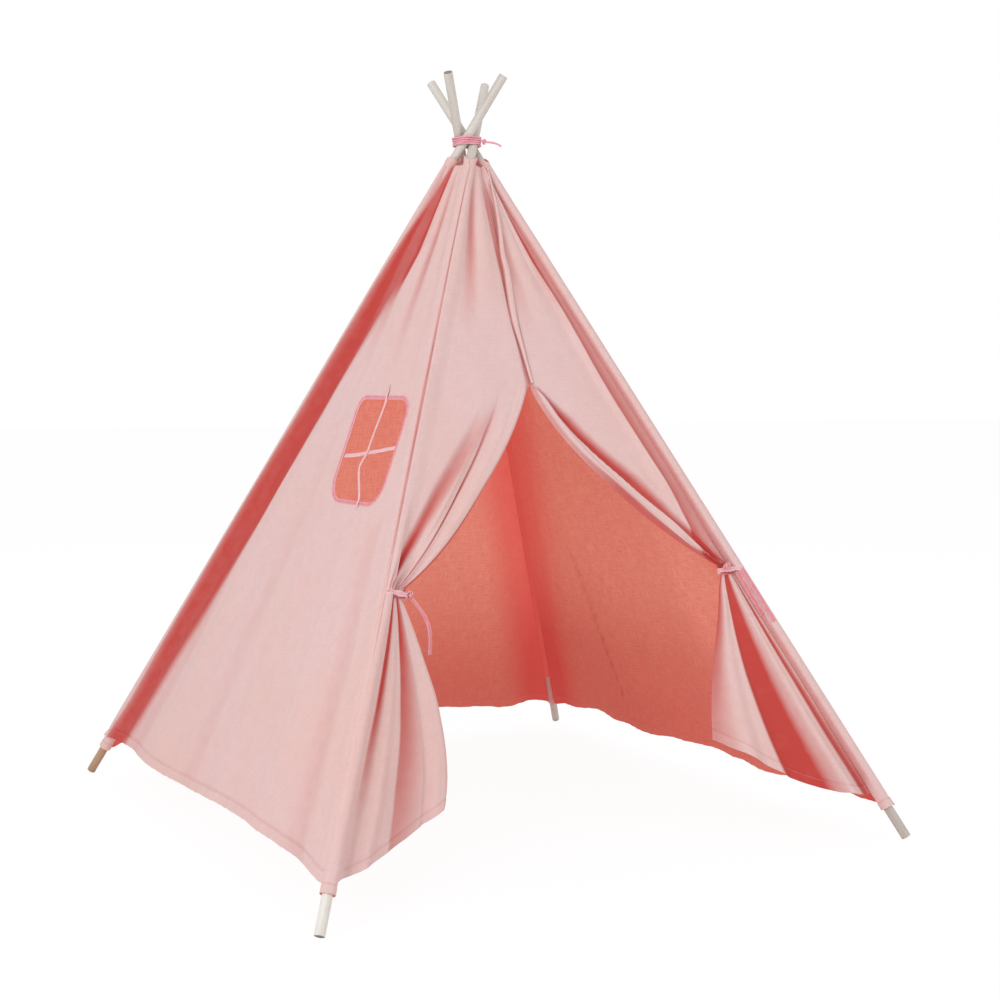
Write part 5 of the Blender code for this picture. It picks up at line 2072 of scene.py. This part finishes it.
    def build(self, finishes: Finishes) -> None:
        """Build the band, the knot and the tails.

        Args:
            finishes: The materials.
        """
        self.build_band(finishes)
        self.build_knot(finishes)
        if self.flap.side < 0:
            self.build_hanging_tail(finishes)
        else:
            self.build_lying_tails(finishes)


@dataclass
class Lash:
    """The cord wound round the four poles where they cross.

    Args:
        diameter: The cord's diameter.
        pitch: How far one turn lies above the one before.
        turns: How many turns it has.
        per_turn: Points of the line in one turn.
        knot_angle: Direction from the lash's middle in which the knot sits.
        knot_radius: How far the knot stands off the turns.
        lay_length: Length of cord in which its strands turn once.
    """

    diameter: float = 0.0040
    pitch: float = 0.0042
    turns: int = 4
    per_turn: int = 96
    knot_angle: float = math.radians(-48.0)
    knot_radius: float = 0.0065
    lay_length: float = 0.011

    def discs(self, height: float, extra: float) -> list[Disc]:
        """The pole sections at a height, standing and folded, as flat discs.

        Args:
            height: Height above the floor.
            extra: How far the discs are grown.

        Returns:
            The discs.
        """
        found = []
        for pole in POLES:
            for down in (pole.down, pole.folded_down()):
                centre = pole.pivot + down * ((LASH_HEIGHT - height) / -down[2])
                found.append((centre[0], centre[1], POLE_RADIUS / -down[2] + extra))
        return found

    def line(self) -> Array:
        """Draw the winding's centre line: a helix drawn taut round the poles.

        Returns:
            The line's points.
        """
        bottom = LASH_HEIGHT - self.pitch * self.turns / 2
        points = []
        for step in range(self.turns * self.per_turn + 1):
            angle = self.knot_angle + 2 * math.pi * step / self.per_turn
            height = bottom + self.pitch * step / self.per_turn
            points.append((*wrapped(self.discs(height, CONTACT_GAP + self.diameter / 2), angle), height))
        return np.array(points)

    def rope(self, name: str, path: Array, closed: bool, radius: float, material: Material) -> Piece:
        """Sweep a twisted cord along a line.

        Args:
            name: The piece's name.
            path: The line.
            closed: Whether its end meets its start.
            radius: The cord's radius.
            material: Its finish.

        Returns:
            The cord.
        """
        along = lengths(path)
        twist = along / self.lay_length * 2 * math.pi
        if closed:
            whole = along[-1] + np.linalg.norm(path[0] - path[-1])
            twist = along / whole * 2 * math.pi * max(1, round(whole / self.lay_length))
        beside = np.array((0.2, 0.9, 0.4) if closed else (0.31, 0.22, 0.93))
        ups = unit(np.cross(np.gradient(path, axis=0), beside))
        return swept(name, path, round_ring(radius * 1.02, twist), ups, closed, material)

    def build(self, finishes: Finishes) -> None:
        """Build the winding, its knot and the knot's loose end.

        Args:
            finishes: The materials.
        """
        line, radius = self.line(), self.diameter / 2
        at = np.arange(0, len(line) - 0.5, 0.5)
        dense = np.stack([np.interp(at, np.arange(len(line)), line[:, axis]) for axis in range(3)], axis=1)
        winding = self.rope("lash_turns", dense, False, radius, finishes.cord)
        seat = radius + CONTACT_GAP + self.knot_radius
        outward = np.array((math.cos(self.knot_angle), math.sin(self.knot_angle), 0.0))
        centre = np.array((*wrapped(self.discs(LASH_HEIGHT, seat), self.knot_angle), LASH_HEIGHT))
        coarse = line[:: self.per_turn // 24]
        for _ in range(20):
            centre = centre + outward * (seat - np.linalg.norm(coarse - centre, axis=1).min())
        up = np.array((0.0, 0.0, 1.0))
        frame = np.stack([np.cross(outward, up), up, outward], axis=1)
        loop = trefoil(centre, frame, self.knot_radius * 0.72, 72)
        knot = self.rope("lash_bow", loop, True, 0.0019, finishes.cord)
        steps = (
            (0.0036, -0.0015, -0.0010), (0.0110, -0.0052, -0.0016), (0.0185, -0.0092, -0.0030),
            (0.0255, -0.0126, -0.0058), (0.0310, -0.0150, -0.0098),
        )
        path = through(centre + np.array(steps), 12)
        tail = self.rope("lash_end", path, False, radius, finishes.cord)
        for obj, node in ((winding, "lash_winding"), (knot, "lash_knot"), (tail, "lash_tail")):
            hand_over(obj, "cover", "lash_cord", node)


@dataclass
class Placket:
    """The strip where the two halves of the front overlap, from near the top to the apex.

    Args:
        line: Its course as (height, share of the front's width, width of the strip), from the apex up.
    """

    line: tuple[tuple[float, float, float], ...] = (
        (0.856, 0.509, 0.005), (0.925, 0.500, 0.009), (0.973, 0.492, 0.014), (1.022, 0.500, 0.016),
        (1.072, 0.517, 0.015), (1.122, 0.523, 0.011), (1.225, 0.642, 0.007), (1.284, 0.780, 0.004),
    )
    rows: int = 110
    columns: int = 17
    thickness: float = 0.0010

    def build(self, finishes: Finishes) -> None:
        """Build the strip as a flat fold, and say how it is held.

        Args:
            finishes: The materials.
        """
        column = np.linspace(0, 1, self.columns)[None]
        heights, shares, widths = through(self.line, 16)[::-1].T
        at = np.linspace(heights[0], heights[-1], self.rows)
        share, width = (np.interp(-at, -heights, known)[:, None] for known in (shares, widths))
        height = np.broadcast_to(at[:, None], (self.rows, self.columns))
        rise = (0.0015 + 0.10 * width) * bow(column) ** 0.6
        rise = rise + Ripples(61, 3, 0.09, 0.0004).at(column * 0.01, height)
        depth = WALL_LEVEL + 0.0024 + 0.0030 * top_gather(height, 0.93, 1.17, column)[0] + rise
        distance = FRONT_PLANE.span(height)[2] * share + width * (column - 0.5)
        # Painted shade along both sides of the strip.
        valley = 0.6 * ramp(np.abs(column - 0.5) * 2, 0.62, 0.9)
        cloth = Cloth(FRONT_PLANE.lay(distance, height, depth), valley)
        obj = cloth.sew("door_overlap", self.thickness, (finishes.outside,), FRONT_PLANE.outward)
        hand_over(obj, "cover", "cotton_outside", "front_placket", folds=True)


@dataclass
class Cover:
    """The sewn cotton cover: its walls, window, door halves and channels."""

    finishes: Finishes

    def walls(self) -> list[WallCloth]:
        """Describe the three whole walls.

        Returns:
            The left, the right and the rear wall.
        """
        left = WindowWall(
            "wall_left", "panel_left", LEFT_PLANE, (EdgeForm.VALLEY, EdgeForm.WELT), hem=0.083, seed=3,
            pleats=(
                (0.13, 0.07, -0.7), (0.26, 0.07, 0.6), (0.42, 0.06, -0.4), (0.56, 0.06, 0.4),
                (0.76, 0.06, 0.5), (0.88, 0.06, -0.7),
            ),
            hem_line=(
                (0.0, 0.082), (0.095, 0.087), (0.20, 0.082), (0.325, 0.078), (0.455, 0.082), (0.58, 0.088),
                (0.705, 0.088), (0.82, 0.084), (0.93, 0.079), (0.97, 0.073), (1.0, 0.072),
            ),
        )
        right = WallCloth(
            "wall_right", "panel_right", RIGHT_PLANE, (EdgeForm.OVER, EdgeForm.SEWN), hem=0.055, seed=11,
            pleats=(
                (0.14, 0.08, 0.6), (0.30, 0.08, -0.8), (0.47, 0.08, 0.7), (0.66, 0.09, -0.6),
                (0.85, 0.08, 0.8),
            ),
            creases=(
                Crease((0.227, 0.53), (0.240, 0.06), 0.0034, 0.0050, -0.5),
                Crease((0.236, 0.53), (0.249, 0.06), 0.0040, -0.0030, 0.5),
                Crease((0.196, 0.86), (0.226, 0.50), 0.0030, 0.0020, -0.3),
            ),
            pucker=0.0005, inner_shade=0.55,
        )
        rear = WallCloth(
            "wall_rear", "panel_rear", REAR_PLANE, (EdgeForm.SEWN, EdgeForm.SEWN), hem=0.060, seed=23,
            pleats=(
                (0.12, 0.07, -0.8), (0.28, 0.08, 0.7), (0.48, 0.09, -0.6), (0.68, 0.08, 0.7),
                (0.87, 0.07, -0.8),
            ),
            pucker=0.0005,
        )
        return [left, right, rear]

    def flaps(self) -> list[Flap]:
        """Describe the two halves of the front.

        Returns:
            The left and the right half.
        """
        left = Flap(
            -1, FRONT_LEFT, EdgeForm.SEAM, neck_width=0.022, neck_tilt=0.005, edge_power=1.0,
            gather_start=0.12, free_edge_drop=0.310, skirt_width=0.199, skirt_hem=0.080, belly=0.012, seed=31,
            folds=(
                Fold((0.74, 0.22), (0.14, 0.14), (-0.004, -0.011), (-0.05, 1.3)),
                Fold((0.68, 0.50), (0.08, 0.06), (0.003, 0.009)),
                Fold((0.73, 0.66), (0.028, 0.028), (-0.004, -0.007), (0.35, 1.0)),
                Fold((0.86, 0.84), (0.08, 0.10), (0.003, 0.007)),
            ),
            skirt_folds=(
                Fold((0.18, 0.08), (0.07, 0.08), (-0.006, -0.008), (1.9, -0.4)),
                Fold((0.31, 0.24), (0.09, 0.12), (0.006, 0.008)),
                Fold((0.49, 0.50), (0.05, 0.30), (-0.003, -0.003), (1.1, 0.45)),
                Fold((0.72, 0.80), (0.04, 0.09), (-0.001, -0.003), (-0.2, 0.12)),
                Fold((0.92, 0.90), (0.14, 0.14), (0.006, 0.010)),
            ),
        )
        right = Flap(
            1, FRONT_RIGHT, EdgeForm.CREST, neck_width=0.023, neck_tilt=0.010, edge_power=1.25,
            gather_start=0.45, free_edge_drop=0.245, skirt_width=0.210, skirt_hem=0.092, belly=0.032, seed=43,
            spread=0.25,
            folds=(Fold((0.30, 0.20), (0.20, 0.15), (0.0, 0.006)),),
            skirt_folds=(
                Fold((0.10, 0.03), (0.07, 0.06), (-0.008, -0.010), (1.0, 0.9)),
                Fold((0.28, 0.17), (0.10, 0.09), (0.010, 0.016)),
                Fold((0.68, 0.54), (0.36, 0.07), (-0.012, -0.017), (1.8, 1.9)),
                Fold((0.86, 0.80), (0.12, 0.16), (0.012, 0.018)),
                Fold((1.02, 1.01), (0.16, 0.10), (-0.006, -0.008), (1.1, 0.5)),
            ),
            strip=(
                (0.0, 0.004, 0.010), (0.107, 0.017, 0.019), (0.19, 0.019, 0.036), (0.345, 0.030, 0.038),
                (0.51, 0.038, 0.048), (0.67, 0.043, 0.037), (0.81, 0.045, 0.014), (1.0, 0.018, 0.006),
            ),
        )
        return [left, right]

    def build(self) -> None:
        """Build the whole cover and its ties."""
        for wall in self.walls():
            wall.build(self.finishes)
        Window().build(self.finishes)
        Placket().build(self.finishes)
        Channel(FRONT_LEFT, seam=1.0).build(self.finishes)
        Channel(FRONT_RIGHT, shaded=0.45).build(self.finishes)
        Channel(BACK_LEFT).build(self.finishes)
        Channel(BACK_RIGHT, inner_depth=-0.0045).build(self.finishes)
        for flap in self.flaps():
            Tie(flap).build(self.finishes)
            flap.build(self.finishes)


@dataclass
class Studio:
    """Pale floor, a camera where the photograph was taken from, and lamps as (name, place, size, power)."""

    place: tuple[float, float, float] = (-1.597, -3.013, 0.856)
    azimuth: float = math.radians(29.06)
    fall: float = math.radians(3.88)
    roll: float = math.radians(0.08)
    lens: float = 60.606
    lamps: tuple[tuple[str, tuple[float, float, float], float, float], ...] = (
        ("key_lamp", (-4.4, -2.4, 3.0), 2.6, 106.0), ("fill_lamp", (2.6, -4.2, 2.4), 3.0, 50.0),
        ("back_lamp", (1.0, 4.2, 3.4), 3.0, 60.0),
    )
    aim: tuple[float, float, float] = (0.0, 0.0, 0.65)

    def build_camera(self) -> None:
        """Add the camera."""
        level = math.cos(self.fall)
        east, north = math.sin(self.azimuth) * level, math.cos(self.azimuth) * level
        ahead = np.array((east, north, -math.sin(self.fall)))
        right = unit(np.cross(ahead, (0, 0, 1)))
        up = np.cross(right, ahead)
        turned_right = right * math.cos(self.roll) + up * math.sin(self.roll)
        turned_up = up * math.cos(self.roll) - right * math.sin(self.roll)
        data = bpy.data.cameras.new("photo_camera")
        data.lens = self.lens
        data.sensor_width = 36.0
        data.clip_start, data.clip_end = 0.05, 100.0
        camera = bpy.data.objects.new("photo_camera", data)
        turn = Matrix((turned_right, turned_up, -ahead)).transposed().to_4x4()
        camera.matrix_world = Matrix.Translation(self.place) @ turn
        bpy.context.scene.collection.objects.link(camera)
        bpy.context.scene.camera = camera

    def build_floor(self) -> None:
        """Add the floor, white to the camera and keeping a faint shadow."""
        bpy.ops.mesh.primitive_plane_add(size=60.0)
        floor = bpy.context.active_object
        floor.name = floor.data.name = "studio_floor"
        bench, shader, material = new_material("studio_floor")
        tone = bench.band(bench.noise(bench.own_place(), 2.0, 0.6), 0.2, 0.8)
        base = bench.blend(tone, (0.90, 0.90, 0.90, 1), (0.92, 0.92, 0.92, 1))
        bench.feed(shader, {"Base Color": base, "Roughness": 0.9, "Specular IOR Level": 0.0})
        glow = bench.node("ShaderNodeEmission", {"Color": WHITE, "Strength": 1.02}).outputs[0]
        seen = bench.node("ShaderNodeLightPath").outputs["Is Camera Ray"]
        mix = bench.node("ShaderNodeMixShader", {0: bench.times(seen, 0.93), 1: shader.outputs[0], 2: glow})
        bench.feed(material.node_tree.nodes["Material Output"], {"Surface": mix.outputs[0]})
        floor.data.materials.append(material)

    def build_world(self) -> None:
        """Light everything softly from all sides, and show plain white behind."""
        scene = bpy.context.scene
        scene.view_settings.view_transform = "Standard"
        scene.world = bpy.data.worlds.new("studio")
        scene.world.use_nodes = True
        bench = Bench(scene.world.node_tree)
        rays = bench.node("ShaderNodeLightPath").outputs
        seen = bench.math("MAXIMUM", rays["Is Camera Ray"], rays["Is Glossy Ray"])
        seen = bench.math("MAXIMUM", seen, rays["Is Transmission Ray"])
        strength = bench.plus(bench.times(seen, 1 - SKY_STRENGTH), SKY_STRENGTH)
        bench.feed(bench.tree.nodes["Background"], {"Color": WHITE, "Strength": strength})

    def build_lamps(self) -> None:
        """Add a large soft lamp on the door's left, a weaker one on its right, and one behind."""
        for name, place, size, power in self.lamps:
            data = bpy.data.lights.new(name, "AREA")
            data.size = size
            data.energy = power
            lamp = bpy.data.objects.new(name, data)
            lamp.location = place
            lamp.rotation_euler = (Vector(self.aim) - Vector(place)).to_track_quat("-Z", "Y").to_euler()
            bpy.context.scene.collection.objects.link(lamp)

    def build(self) -> None:
        """Build the floor, the world and the lamps."""
        self.build_floor()
        self.build_world()
        self.build_lamps()


def dress_ferrules(nodes: dict[str, Piece], metal: Material) -> None:
    """Give the ferrules, which stay as they are in the CAD model, their metal.

    Args:
        nodes: The CAD model's pieces by their names.
        metal: Their finish.
    """
    for name, node in nodes.items():
        if name.startswith("ferrule_"):
            node.data.materials.clear()
            node.data.materials.append(metal)


def main() -> None:
    """Build the looks around the frame."""
    logging.basicConfig(level=logging.INFO, format="%(name)s: %(message)s")
    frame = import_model()
    studio = Studio()
    studio.build_camera()
    finishes = Finishes()
    dress_ferrules(frame["nodes"], finishes.metal)
    Lash().build(finishes)
    Cover(finishes).build()
    # Feet in copies of the pine: painted shade on the back left, painted light on the front left, slight
    # painted shade on the front right.
    feet = {BACK_LEFT.label: Wood.WORN, FRONT_LEFT.label: Wood.CLEAN, FRONT_RIGHT.label: Wood.DUSTY}
    for pole in POLES:
        PoleSticks(pole, feet.get(pole.label, Wood.WASHED)).build(finishes)
    studio.build()


if __name__ == "__main__":
    main()
